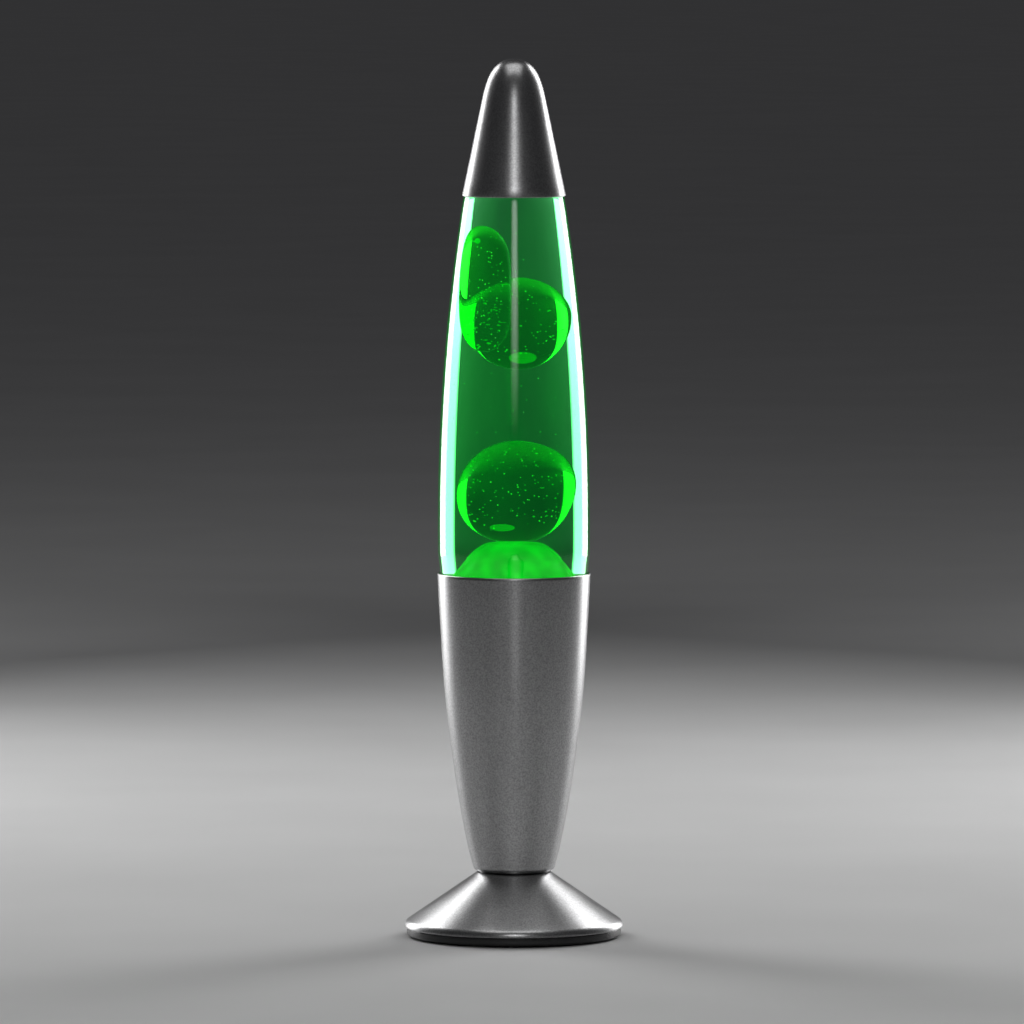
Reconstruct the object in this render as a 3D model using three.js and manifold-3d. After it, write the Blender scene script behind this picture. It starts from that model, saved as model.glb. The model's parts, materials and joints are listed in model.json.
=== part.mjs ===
// Lava lamp: a wax-and-liquid bottle standing in a spun aluminium holder, lit and warmed from below by a
// reflector bulb. Millimetres, +Z up. The origin is on the table, under the middle of the foot. -Y is the
// lamp's front, +Y its cord side.
import * as THREE from "three";
import { mergeVertices } from "three/addons/utils/BufferGeometryUtils.js";
import Module from "manifold-3d";

const wasm = await Module();
wasm.setup();

// ---- Driving dimensions -------------------------------------------------------------------------

// Overall sizes
const LAMP_HEIGHT = 406;
const FOOT_RADIUS = 50.7;
const SHEET = 1.0; // spun aluminium sheet of the foot, holder and cap
const GAP = 0.3; // clearance left between pieces that fit in or round each other

// Foot: a straight cone with a rounded lower edge
const FOOT_TOP_Z = 30.0;
const FOOT_EDGE_Z = 4.6;
const FOOT_TOP_RADIUS = 17.9;
const FOOT_SLOPE = 1.426; // radius gained for each millimetre down the cone
const FOOT_EDGE_ROUND = 4.0;
const FOOT_LIP = 0.5; // how far the lower edge turns in under the rounding

// Base plate and its rubber feet
const PLATE_BOTTOM_Z = 0.8;
const PLATE_THICKNESS = 2.5;
const PLATE_INSET = 1.1; // how far its rim stands in from the foot's edge
const PLATE_WALL = 1.6;
const PLATE_WALL_HEIGHT = 2.4; // locating wall, above the foot's lower edge
const PLATE_CHAMFER = 0.6;
const RUBBER_FEET = 4;
const RUBBER_RADIUS = 6.0;
const RUBBER_HEIGHT = 1.8;
const RUBBER_INSET = 13.7; // how far each one's centre stands in from the foot's edge

// Holder: the tapered sleeve that the bottle sits in
const SPACER_RADIUS = 16.2;
const SPACER_THICKNESS = 0.6;
const HOLDER_RIM_Z = 168.8;
const HOLDER_RIM_RADIUS = 35.35;
const HOLDER_FLOOR_ROUND = 3.0;
const HOLDER_FLOOR_ROUND_RADIUS = 16.1; // radius at which the floor's rounding starts
// Holder's outside, as [radius, height] points between the floor's rounding and the rim
const HOLDER_SIDE = [
  [19.0, 32.9],
  [21.9, 44.8],
  [26.6, 70.7],
  [31.7, 109.6],
  [34.3, 148.4],
];

// Bottle: an ogive of blown glass with a crown-finish neck
const GLASS_WALL = 2.5;
const GLASS_WIDEST_RADIUS = 35.24;
const GLASS_WIDEST_Z = 190.8;
const GLASS_ARC_RADIUS = 970;
const GLASS_SEAT_RADIUS = 34.05; // where the bottle enters the holder's rim
const BOTTLE_BOTTOM_Z = 132;
const BOTTLE_HEEL_RADIUS = 31.6;
const BOTTLE_HEEL_ROUND = 5;
const BOTTLE_BASE = 3.2;
const NECK_RADIUS = 12.4;
const NECK_BEAD_RADIUS = 13.3;
const NECK_BEAD_HEIGHT = 4.8;
const NECK_BORE_RADIUS = 9.2;
const NECK_TOP_Z = 372.4;

// Cap: the tapered metal cover over the neck
const CAP_RIM_Z = 342.8;
const CAP_RIM_RADIUS = 23.9;
const CAP_SHOULDER_Z = 387.3; // where the straight cone turns into the rounded nose
const CAP_SHOULDER_RADIUS = 14.66;
const CAP_NOSE_RADIUS = 9.1; // sets how blunt the tip is
const CAP_NOSE_START = 11.5; // how far the cone's slope carries on into the nose
const CAP_SHEET = 0.9;

// Crown closure on the neck
const LINER_THICKNESS = 0.6;
const CROWN_SHEET = 0.5;
const CROWN_RADIUS = 15.8;
const CROWN_HEIGHT = 6.0;

// Liquid and wax, at rest
const LIQUID_LEVEL_Z = 357.5;
const POOL_TOP_Z = 183.8;
const POOL_WAIST_RADIUS = 20.0; // radius of the pool's dome level with the holder's rim
// Each blob: centre, half-widths along x, y and z, and its travel down and up
const BLOBS = {
  wax_blob_lower: { at: [0.8, 0, 206.7], half: [20.7, 20.0, 22.4], down: 0, up: 30 },
  wax_blob_middle: { at: [1.2, 11.3, 283.2], half: [15.0, 12.5, 21.0], down: 32, up: 20 },
  wax_blob_side: { at: [-11.8, -9.3, 300.3], half: [11.0, 9.5, 29.0], down: 40, up: 0 },
  wax_blob_top: { at: [3.5, 0, 349.6], half: [10.5, 10.5, 8.0], down: 12, up: 0 },
};
const COIL_RING_RADIUS = 24.4;
const COIL_RADIUS = 3.0;
const COIL_WIRE_RADIUS = 0.45;
const COIL_TURNS = 16;

// Threaded tube that clamps the foot, spacer and holder together
const TUBE_RADIUS = 5.0;
const TUBE_BORE_RADIUS = 3.9;
const TUBE_BOTTOM_Z = 22;
const TUBE_TOP_Z = 36;
const WASHER_RADIUS = 9;
const WASHER_THICKNESS = 0.8;
const NUT_WIDTH = 14; // across flats
const NUT_HEIGHT = 3;
const TAG_TONGUE_WIDTH = 4;
const TAG_TONGUE_LENGTH = 7;

// Lampholder for a small Edison screw cap
const SOCKET_RADIUS = 13.5;
const SOCKET_WALL = 1.5;
const SOCKET_BASE_HEIGHT = 13.6;
const SOCKET_TOP_Z = 83.4;
const INSULATOR_RADIUS = 11.6;
const INSULATOR_HEIGHT = 14.5;
const TERMINAL_SPACING = 7;
const TERMINAL_RADIUS = 1.8;
const TERMINAL_HEAD = 2;
const TERMINAL_SLOT = 0.6;

// Edison screw thread
const THREAD_PITCH = 2.822;
const THREAD_MIDDLE_RADIUS = 6.53;
const THREAD_DEPTH = 0.38; // from the middle radius to a crest or a root
const THREAD_ROWS_PER_TURN = 6;
const SHELL_RADIUS = 8.2;
const SHELL_FLANGE = 2.4;
const SHELL_FLANGE_THICKNESS = 0.8;

// Bulb: a 39 mm reflector bulb
const BULB_TIP_Z = 55;
const BULB_LENGTH = 68;
const BULB_RADIUS = 19.5;
const BULB_WALL = 0.9;

// Contact plunger and its spring
const PLUNGER_RADIUS = 1.9;
const PLUNGER_FLANGE_RADIUS = 2.7;
const PLUNGER_LENGTH = 5.2;
const PLUNGER_WELL_RADIUS = 3.1;
const SPRING_RADIUS = 2.3;
const SPRING_WIRE_RADIUS = 0.3;
const SPRING_TURNS = 3;
const SPRING_SPACE = 3.2; // height of the well below the plunger

// Wiring in the foot
const WIRE_RADIUS = 1.0;
const BLOCK_SIZE = [20, 12, 8]; // terminal block
const BLOCK_SCREW_RADIUS = 1.6;
const BLOCK_HOLE_RADIUS = 1.5;
const BLOCK_TO_GLAND = 4;
const GLAND_RADIUS = 5.2;
const GLAND_BORE_RADIUS = 3.4; // takes the mains cord
const GLAND_LENGTH = 17.7;
const GLAND_FLANGE = 1.2;
const GLAND_FLANGE_THICKNESS = 1.5;
const GLAND_CHAMFER = 0.8;
const GLAND_Z = 10.1;

// Facets round each kind of turned piece
const SHELL_FACETS = 32;
const SMALL_FACETS = 18;
const THREAD_FACETS = 16;
const BLOB_FACETS = 18;

// ---- Derived levels -----------------------------------------------------------------------------

const HOLDER_BOTTOM_Z = FOOT_TOP_Z + SPACER_THICKNESS;
const HOLDER_FLOOR_Z = HOLDER_BOTTOM_Z + SHEET;
const PLATE_TOP_Z = PLATE_BOTTOM_Z + PLATE_THICKNESS;
const SOCKET_BASE_TOP_Z = HOLDER_FLOOR_Z + SOCKET_BASE_HEIGHT;
const INSULATOR_TOP_Z = SOCKET_BASE_TOP_Z + INSULATOR_HEIGHT;
const BULB_TOP_Z = BULB_TIP_Z + BULB_LENGTH;
const BULB_THREAD_BOTTOM_Z = BULB_TIP_Z + 5.5;
const BULB_THREAD_TOP_Z = BULB_THREAD_BOTTOM_Z + 5.5 * THREAD_PITCH;
const CLAMP_HOLE_RADIUS = TUBE_RADIUS + GAP;
const GLAND_INNER_Y = FOOT_RADIUS - GLAND_LENGTH;
const BLOCK_Y = GLAND_INNER_Y - BLOCK_TO_GLAND - BLOCK_SIZE[1] / 2;

// ---- Materials ----------------------------------------------------------------------------------

const material = (color, roughness, metalness, opacity = 1) =>
  new THREE.MeshStandardMaterial({ color, roughness, metalness, opacity, transparent: opacity < 1 });
const aluminium = material(0xb9babd, 0.34, 1);
const steel = material(0x9a9ca0, 0.3, 1);
const brass = material(0xc2a04e, 0.32, 1);
const blackPlastic = material(0x141415, 0.5, 0);
const blackRubber = material(0x0d0d0e, 0.8, 0);
const clearGlass = material(0xd8f4ee, 0.03, 0, 0.3);
const liquidDye = material(0x0a8a4c, 0.02, 0, 0.5);
const wax = material(0x19d21f, 0.35, 0);
const porcelain = material(0xe9e6dd, 0.35, 0);
const sealRubber = material(0xd9d7d0, 0.7, 0);
const brownWire = material(0x5c3420, 0.5, 0);
const blueWire = material(0x2a56a8, 0.5, 0);
const earthWire = material(0x5fae3b, 0.5, 0);

// ---- Shape helpers ------------------------------------------------------------------------------

const lamp = new THREE.Group();

function add(name, geometry, finish, at = [0, 0, 0]) {
  const mesh = new THREE.Mesh(geometry, finish);
  mesh.name = name;
  mesh.position.set(...at);
  lamp.add(mesh);
  return mesh;
}

const points = (list) => list.map(([r, z]) => new THREE.Vector2(r, z));

// A turned solid: the profile is [radius, height] points that run up the outside and down the inside.
function turned(profile, facets = SMALL_FACETS) {
  const outline = points(profile);
  const onAxis = profile[0][0] === 0 && profile[profile.length - 1][0] === 0;
  if (!onAxis) outline.push(outline[0].clone());
  return new THREE.LatheGeometry(outline, facets).rotateX(Math.PI / 2);
}

// A ring with a rectangular section.
const ring = (inner, outer, bottom, top, facets) =>
  turned([[inner, bottom], [outer, bottom], [outer, top], [inner, top]], facets);

// A solid round bar or disc.
const disc = (radius, bottom, top, facets) =>
  turned([[0, bottom], [radius, bottom], [radius, top], [0, top]], facets);

// A line of [radius, height] points moved sideways: positive is towards the axis on a line that runs up.
function offset(line, distance) {
  return line.map((point, i) => {
    const [r0, z0] = line[Math.max(i - 1, 0)];
    const [r1, z1] = line[Math.min(i + 1, line.length - 1)];
    const length = Math.hypot(r1 - r0, z1 - z0);
    return [point[0] - (distance * (z1 - z0)) / length, point[1] + (distance * (r1 - r0)) / length];
  });
}

const curvePoints = (curve, steps) => curve.getPoints(steps).map((p) => [p.x, p.y]);

// A rounded corner between two directions, as points on an arc of circle.
function arc(centre, radius, fromDegrees, toDegrees, steps) {
  return Array.from({ length: steps + 1 }, (_, i) => {
    const angle = THREE.MathUtils.degToRad(fromDegrees + ((toDegrees - fromDegrees) * i) / steps);
    return [centre[0] + radius * Math.cos(angle), centre[1] + radius * Math.sin(angle)];
  });
}

// A round wire that follows a curve.
function wireAlong(curve, radius, steps, sides) {
  const section = new THREE.Shape(
    Array.from({ length: sides }, (_, i) => {
      const angle = (2 * Math.PI * i) / sides;
      return new THREE.Vector2(radius * Math.cos(angle), radius * Math.sin(angle));
    }),
  );
  const options = { steps, extrudePath: curve, bevelEnabled: false, curveSegments: 1 };
  return new THREE.ExtrudeGeometry(section, options);
}

const curveThrough = (list) => new THREE.CatmullRomCurve3(list.map((p) => new THREE.Vector3(...p)));

function solidOf(geometry) {
  const bare = geometry.index ? geometry.toNonIndexed() : geometry.clone();
  bare.deleteAttribute("normal");
  bare.deleteAttribute("uv");
  const merged = mergeVertices(bare, 1e-4);
  return new wasm.Manifold(
    new wasm.Mesh({
      numProp: 3,
      vertProperties: merged.attributes.position.array,
      triVerts: new Uint32Array(merged.index.array),
    }),
  );
}

function geometryOf(solid) {
  const { vertProperties, triVerts } = solid.getMesh();
  return new THREE.BufferGeometry()
    .setAttribute("position", new THREE.BufferAttribute(vertProperties, 3))
    .setIndex(new THREE.BufferAttribute(triVerts, 1));
}

// The geometry with each of the cutters taken out of it.
const cut = (geometry, ...cutters) =>
  geometryOf(cutters.reduce((solid, cutter) => solid.subtract(solidOf(cutter)), solidOf(geometry)));

// An Edison thread as a solid bar: every cross-section is a circle whose centre runs round a helix.
function threadedBar(middleRadius, bottom, top) {
  const turns = (top - bottom) / THREAD_PITCH;
  const rows = Math.round(turns * THREAD_ROWS_PER_TURN);
  const bar = new THREE.CylinderGeometry(middleRadius, middleRadius, top - bottom, THREAD_FACETS, rows)
    .rotateX(Math.PI / 2)
    .translate(0, 0, (top + bottom) / 2);
  const place = bar.attributes.position;
  for (let i = 0; i < place.count; i++) {
    const turn = (2 * Math.PI * (place.getZ(i) - BULB_THREAD_BOTTOM_Z)) / THREAD_PITCH;
    place.setX(i, place.getX(i) + THREAD_DEPTH * Math.cos(turn));
    place.setY(i, place.getY(i) + THREAD_DEPTH * Math.sin(turn));
  }
  return bar;
}

// ---- Outlines that several pieces share ---------------------------------------------------------

// Foot, outside, from its lower edge up to its top
function footOutline() {
  const slopeAngle = THREE.MathUtils.radToDeg(Math.atan(FOOT_SLOPE)); // from the vertical
  const turn = THREE.MathUtils.degToRad(slopeAngle);
  const cornerZ = FOOT_TOP_Z - (FOOT_RADIUS - FOOT_TOP_RADIUS) / FOOT_SLOPE;
  const roundZ = cornerZ - FOOT_EDGE_ROUND * Math.tan(turn / 2);
  const edge = arc([FOOT_RADIUS - FOOT_EDGE_ROUND, roundZ], FOOT_EDGE_ROUND, 0, slopeAngle, 4);
  const top = [
    [FOOT_TOP_RADIUS, FOOT_TOP_Z - 0.1],
    [FOOT_TOP_RADIUS - 0.8, FOOT_TOP_Z],
  ];
  return [[FOOT_RADIUS - FOOT_LIP, FOOT_EDGE_Z], ...edge, ...top];
}

// Holder, outside, from its floor up to its rim
function holderOutline() {
  const side = new THREE.SplineCurve(points([...HOLDER_SIDE, [HOLDER_RIM_RADIUS, HOLDER_RIM_Z]]));
  const cornerCentre = [HOLDER_FLOOR_ROUND_RADIUS, HOLDER_BOTTOM_Z + HOLDER_FLOOR_ROUND];
  const floorCorner = arc(cornerCentre, HOLDER_FLOOR_ROUND, -90, -15, 3);
  return [...floorCorner, ...curvePoints(side, 8)];
}

const glassArcRadius = (z) =>
  GLASS_WIDEST_RADIUS - GLASS_ARC_RADIUS + Math.sqrt(GLASS_ARC_RADIUS ** 2 - (z - GLASS_WIDEST_Z) ** 2);

// Bottle, outside, from its heel up to its neck; detail is the number of steps up its long side
function bottleSide(detail) {
  const heelCentre = [BOTTLE_HEEL_RADIUS - BOTTLE_HEEL_ROUND, BOTTLE_BOTTOM_Z + BOTTLE_HEEL_ROUND];
  const heel = arc(heelCentre, BOTTLE_HEEL_ROUND, -90, 0, 2);
  const tail = [
    [BOTTLE_HEEL_RADIUS + 0.9, BOTTLE_BOTTOM_Z + 18],
    [GLASS_SEAT_RADIUS, HOLDER_RIM_Z - 0.8],
  ];
  const [low, high] = [HOLDER_RIM_Z + 10, CAP_RIM_Z - 1.4];
  const side = Array.from({ length: detail + 1 }, (_, i) => low + ((high - low) * i) / detail);
  const shoulder = new THREE.SplineCurve(
    points([
      [CAP_RIM_RADIUS - 0.8, CAP_RIM_Z - 0.4],
      [20.6, 348.5],
      [17.2, 355],
      [13.4, 361],
      [NECK_RADIUS, 366],
    ]),
  );
  return [...heel, ...tail, ...side.map((z) => [glassArcRadius(z), z]), ...curvePoints(shoulder, 4)];
}

// Bottle, inside, from its floor up to the neck
const bottleInside = offset(bottleSide(5), GLASS_WALL).map(([r, z]) => [
  Math.max(r, NECK_BORE_RADIUS),
  Math.max(z, BOTTLE_BOTTOM_Z + BOTTLE_BASE),
]);

// Inside radius of the bottle at a height
function insideRadius(z) {
  const i = bottleInside.findIndex((point) => point[1] >= z);
  const [r0, z0] = bottleInside[i - 1];
  const [r1, z1] = bottleInside[i];
  return r0 + ((r1 - r0) * (z - z0)) / (z1 - z0);
}

// Cap, outside, from its rim up to its tip
function capOutline() {
  const cone = new THREE.Vector2(
    CAP_SHOULDER_RADIUS - CAP_RIM_RADIUS,
    CAP_SHOULDER_Z - CAP_RIM_Z,
  ).normalize();
  const nose = new THREE.CubicBezierCurve(
    new THREE.Vector2(CAP_SHOULDER_RADIUS, CAP_SHOULDER_Z),
    new THREE.Vector2(CAP_SHOULDER_RADIUS, CAP_SHOULDER_Z).addScaledVector(cone, CAP_NOSE_START),
    new THREE.Vector2(CAP_NOSE_RADIUS, LAMP_HEIGHT),
    new THREE.Vector2(0, LAMP_HEIGHT),
  );
  return [[CAP_RIM_RADIUS, CAP_RIM_Z], ...curvePoints(nose, 7)];
}

// ---- Foot ---------------------------------------------------------------------------------------

function makeFoot() {
  const outside = footOutline();
  const under = FOOT_TOP_Z - SHEET;
  const inside = offset(outside, SHEET).slice(1, -1).map(([r, z]) => [r, Math.min(z, under)]);
  inside[0] = [FOOT_RADIUS - FOOT_LIP - SHEET, FOOT_EDGE_Z];
  inside[inside.length - 1] = [FOOT_TOP_RADIUS - 1.2, under];
  const hole = [
    [CLAMP_HOLE_RADIUS, FOOT_TOP_Z],
    [CLAMP_HOLE_RADIUS, under],
  ];
  const cone = turned([...outside, ...hole, ...inside.reverse()], SHELL_FACETS);
  // A notch at the back takes the cord gland.
  const notchRadius = GLAND_RADIUS + GAP;
  const notchRound = new THREE.CylinderGeometry(notchRadius, notchRadius, FOOT_RADIUS, SMALL_FACETS);
  const notchSlot = new THREE.BoxGeometry(2 * notchRadius, FOOT_RADIUS, GLAND_Z);
  notchRound.translate(0, FOOT_RADIUS, GLAND_Z);
  notchSlot.translate(0, FOOT_RADIUS, GLAND_Z / 2);
  add("foot_cone", cut(cone, notchRound, notchSlot), aluminium);
}

function makeBasePlate() {
  const rim = FOOT_RADIUS - PLATE_INSET;
  const wallOuter = FOOT_RADIUS - FOOT_EDGE_ROUND - SHEET - GAP;
  const wallTop = FOOT_EDGE_Z + PLATE_WALL_HEIGHT;
  const plate = turned(
    [
      [0, PLATE_BOTTOM_Z],
      [rim - PLATE_CHAMFER, PLATE_BOTTOM_Z],
      [rim, PLATE_BOTTOM_Z + PLATE_CHAMFER],
      [rim, FOOT_EDGE_Z],
      [wallOuter, FOOT_EDGE_Z],
      [wallOuter, wallTop],
      [wallOuter - PLATE_WALL, wallTop],
      [wallOuter - PLATE_WALL, PLATE_TOP_Z],
      [0, PLATE_TOP_Z],
    ],
    SHELL_FACETS,
  );
  // The locating wall is open at the back, where the cord comes in.
  const gap = new THREE.BoxGeometry(2 * (GLAND_RADIUS + 2), 30, wallTop);
  const cutters = [gap.translate(0, wallOuter, wallTop / 2 + PLATE_TOP_Z + 0.4)];
  const ringRadius = FOOT_RADIUS - RUBBER_INSET;
  for (let i = 0; i < RUBBER_FEET; i++) {
    const angle = (2 * Math.PI * (i + 0.5)) / RUBBER_FEET;
    const [x, y] = [ringRadius * Math.cos(angle), ringRadius * Math.sin(angle)];
    cutters.push(disc(RUBBER_RADIUS + GAP, 0, RUBBER_HEIGHT, SMALL_FACETS).translate(x, y, 0));
    const rubber = disc(RUBBER_RADIUS, 0, RUBBER_HEIGHT, SMALL_FACETS);
    add(`rubber_foot_${i + 1}`, rubber, blackRubber, [x, y, 0]);
  }
  add("base_plate", cut(plate, ...cutters), blackPlastic);
}

// Rubber bush that the mains cord passes through, with a flange inside the foot
function makeGland() {
  const flangeRadius = GLAND_RADIUS + GLAND_FLANGE;
  const profile = [
    [GLAND_BORE_RADIUS, 0],
    [flangeRadius, 0],
    [flangeRadius, GLAND_FLANGE_THICKNESS],
    [GLAND_RADIUS, GLAND_FLANGE_THICKNESS],
    [GLAND_RADIUS, GLAND_LENGTH - GLAND_CHAMFER],
    [GLAND_RADIUS - GLAND_CHAMFER, GLAND_LENGTH],
    [GLAND_BORE_RADIUS, GLAND_LENGTH],
  ];
  add("cord_gland", turned(profile).rotateX(-Math.PI / 2), blackRubber, [0, GLAND_INNER_Y, GLAND_Z]);
}

// ---- Clamp stack: tube, washers and nut ---------------------------------------------------------

function makeClamp() {
  add("clamp_tube", ring(TUBE_BORE_RADIUS, TUBE_RADIUS, TUBE_BOTTOM_Z, TUBE_TOP_Z), steel);
  const washerTop = FOOT_TOP_Z - SHEET;
  const washerBottom = washerTop - WASHER_THICKNESS;
  add("lock_washer", ring(CLAMP_HOLE_RADIUS, WASHER_RADIUS, washerBottom, washerTop), steel);
  const tagBottom = washerBottom - WASHER_THICKNESS;
  const tagRing = ring(CLAMP_HOLE_RADIUS, WASHER_RADIUS - 0.5, tagBottom, washerBottom);
  const tongue = new THREE.BoxGeometry(TAG_TONGUE_WIDTH, TAG_TONGUE_LENGTH, WASHER_THICKNESS);
  tongue.translate(0, WASHER_RADIUS + 2, washerBottom - WASHER_THICKNESS / 2);
  add("earth_tag", geometryOf(solidOf(tagRing).add(solidOf(tongue))), steel);
  const nutCorner = NUT_WIDTH / Math.sqrt(3);
  const hexagon = new THREE.CylinderGeometry(nutCorner, nutCorner, NUT_HEIGHT, 6)
    .rotateX(Math.PI / 2)
    .translate(0, 0, tagBottom - NUT_HEIGHT / 2);
  add("clamp_nut", cut(hexagon, disc(CLAMP_HOLE_RADIUS, 0, LAMP_HEIGHT)), steel);
  const spacer = ring(CLAMP_HOLE_RADIUS, SPACER_RADIUS, FOOT_TOP_Z, HOLDER_BOTTOM_Z, SHELL_FACETS);
  add("seam_spacer", spacer, blackPlastic);
}

// ---- Holder -------------------------------------------------------------------------------------

function makeHolder() {
  const outside = holderOutline();
  const inside = offset(outside, SHEET).reverse();
  inside[0] = [HOLDER_RIM_RADIUS - SHEET, HOLDER_RIM_Z];
  const holeBottom = [CLAMP_HOLE_RADIUS, HOLDER_BOTTOM_Z];
  const holeTop = [CLAMP_HOLE_RADIUS, HOLDER_FLOOR_Z];
  add("holder_sleeve", turned([holeBottom, ...outside, ...inside, holeTop], SHELL_FACETS), aluminium);
}

// ---- Lampholder ---------------------------------------------------------------------------------

function makeLampholder() {
  const floor = HOLDER_FLOOR_Z;
  const ledge = INSULATOR_RADIUS - 1.1;
  add(
    "socket_base",
    turned([
      [CLAMP_HOLE_RADIUS, floor],
      [8.5, floor],
      [SOCKET_RADIUS - 0.3, floor + 6.6],
      [SOCKET_RADIUS - 0.3, SOCKET_BASE_TOP_Z],
      [ledge, SOCKET_BASE_TOP_Z],
      [ledge, floor + 7.6],
      [7.6, floor + 2.5],
      [CLAMP_HOLE_RADIUS, floor + 2.5],
    ]),
    blackPlastic,
  );
  const shoulderZ = INSULATOR_TOP_Z + SHELL_FLANGE_THICKNESS;
  const skirtInside = SOCKET_RADIUS - SOCKET_WALL;
  add(
    "socket_skirt",
    turned([
      [skirtInside, SOCKET_BASE_TOP_Z],
      [SOCKET_RADIUS, SOCKET_BASE_TOP_Z],
      [SOCKET_RADIUS, SOCKET_TOP_Z - 1],
      [SOCKET_RADIUS - 0.6, SOCKET_TOP_Z],
      [skirtInside + 0.3, SOCKET_TOP_Z],
      [skirtInside, SOCKET_TOP_Z - 0.5],
      [skirtInside, shoulderZ + 1.5],
      [SHELL_RADIUS + 0.6, shoulderZ + 1.5],
      [SHELL_RADIUS + 0.6, shoulderZ],
      [skirtInside, shoulderZ],
    ]),
    blackPlastic,
  );
  // Insulator: a porcelain block with a stepped well for the contact plunger and its spring
  const wellFloor = BULB_TIP_Z - PLUNGER_LENGTH - SPRING_SPACE;
  const insulator = disc(INSULATOR_RADIUS, SOCKET_BASE_TOP_Z, INSULATOR_TOP_Z);
  const well = disc(PLUNGER_WELL_RADIUS, wellFloor, INSULATOR_TOP_Z + 1);
  const capWell = disc(THREAD_MIDDLE_RADIUS + 0.9, BULB_TIP_Z - 0.8, INSULATOR_TOP_Z + 1);
  add("socket_insulator", cut(insulator, well, capWell), porcelain);
  // Threaded shell, whose flange is clamped between the insulator and the skirt's shoulder
  const shell = turned([
    [0, INSULATOR_TOP_Z],
    [SHELL_RADIUS + SHELL_FLANGE, INSULATOR_TOP_Z],
    [SHELL_RADIUS + SHELL_FLANGE, shoulderZ],
    [SHELL_RADIUS, shoulderZ],
    [SHELL_RADIUS, BULB_THREAD_TOP_Z - 1],
    [0, BULB_THREAD_TOP_Z - 1],
  ]);
  const bore = threadedBar(THREAD_MIDDLE_RADIUS + GAP, INSULATOR_TOP_Z - 1, BULB_THREAD_TOP_Z);
  add("socket_screw_shell", cut(shell, bore), brass);
  for (const [name, side] of [["terminal_screw_live", 1], ["terminal_screw_neutral", -1]]) {
    const head = disc(TERMINAL_RADIUS, SOCKET_BASE_TOP_Z - TERMINAL_HEAD, SOCKET_BASE_TOP_Z);
    const slot = new THREE.BoxGeometry(TERMINAL_SLOT, 2 * TERMINAL_RADIUS + 1, 2 * TERMINAL_SLOT);
    slot.translate(0, 0, SOCKET_BASE_TOP_Z - TERMINAL_HEAD);
    add(name, cut(head, slot), brass, [side * TERMINAL_SPACING, 0, 0]);
  }
  add(
    "contact_plunger",
    turned([
      [0, BULB_TIP_Z - PLUNGER_LENGTH],
      [PLUNGER_FLANGE_RADIUS, BULB_TIP_Z - PLUNGER_LENGTH],
      [PLUNGER_FLANGE_RADIUS, BULB_TIP_Z - PLUNGER_LENGTH + 0.8],
      [PLUNGER_RADIUS, BULB_TIP_Z - PLUNGER_LENGTH + 0.8],
      [PLUNGER_RADIUS, BULB_TIP_Z],
      [0, BULB_TIP_Z],
    ]),
    brass,
  );
  const springBottom = wellFloor + 0.4;
  const springRise = SPRING_SPACE - 0.8;
  const perTurn = 8;
  const spring = curveThrough(
    Array.from({ length: SPRING_TURNS * perTurn + 1 }, (_, i) => {
      const angle = (2 * Math.PI * i) / perTurn;
      const z = springBottom + (springRise * i) / (SPRING_TURNS * perTurn);
      return [SPRING_RADIUS * Math.cos(angle), SPRING_RADIUS * Math.sin(angle), z];
    }),
  );
  add("contact_spring", wireAlong(spring, SPRING_WIRE_RADIUS, SPRING_TURNS * 10, 5), steel);
}

// ---- Bulb ---------------------------------------------------------------------------------------

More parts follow.
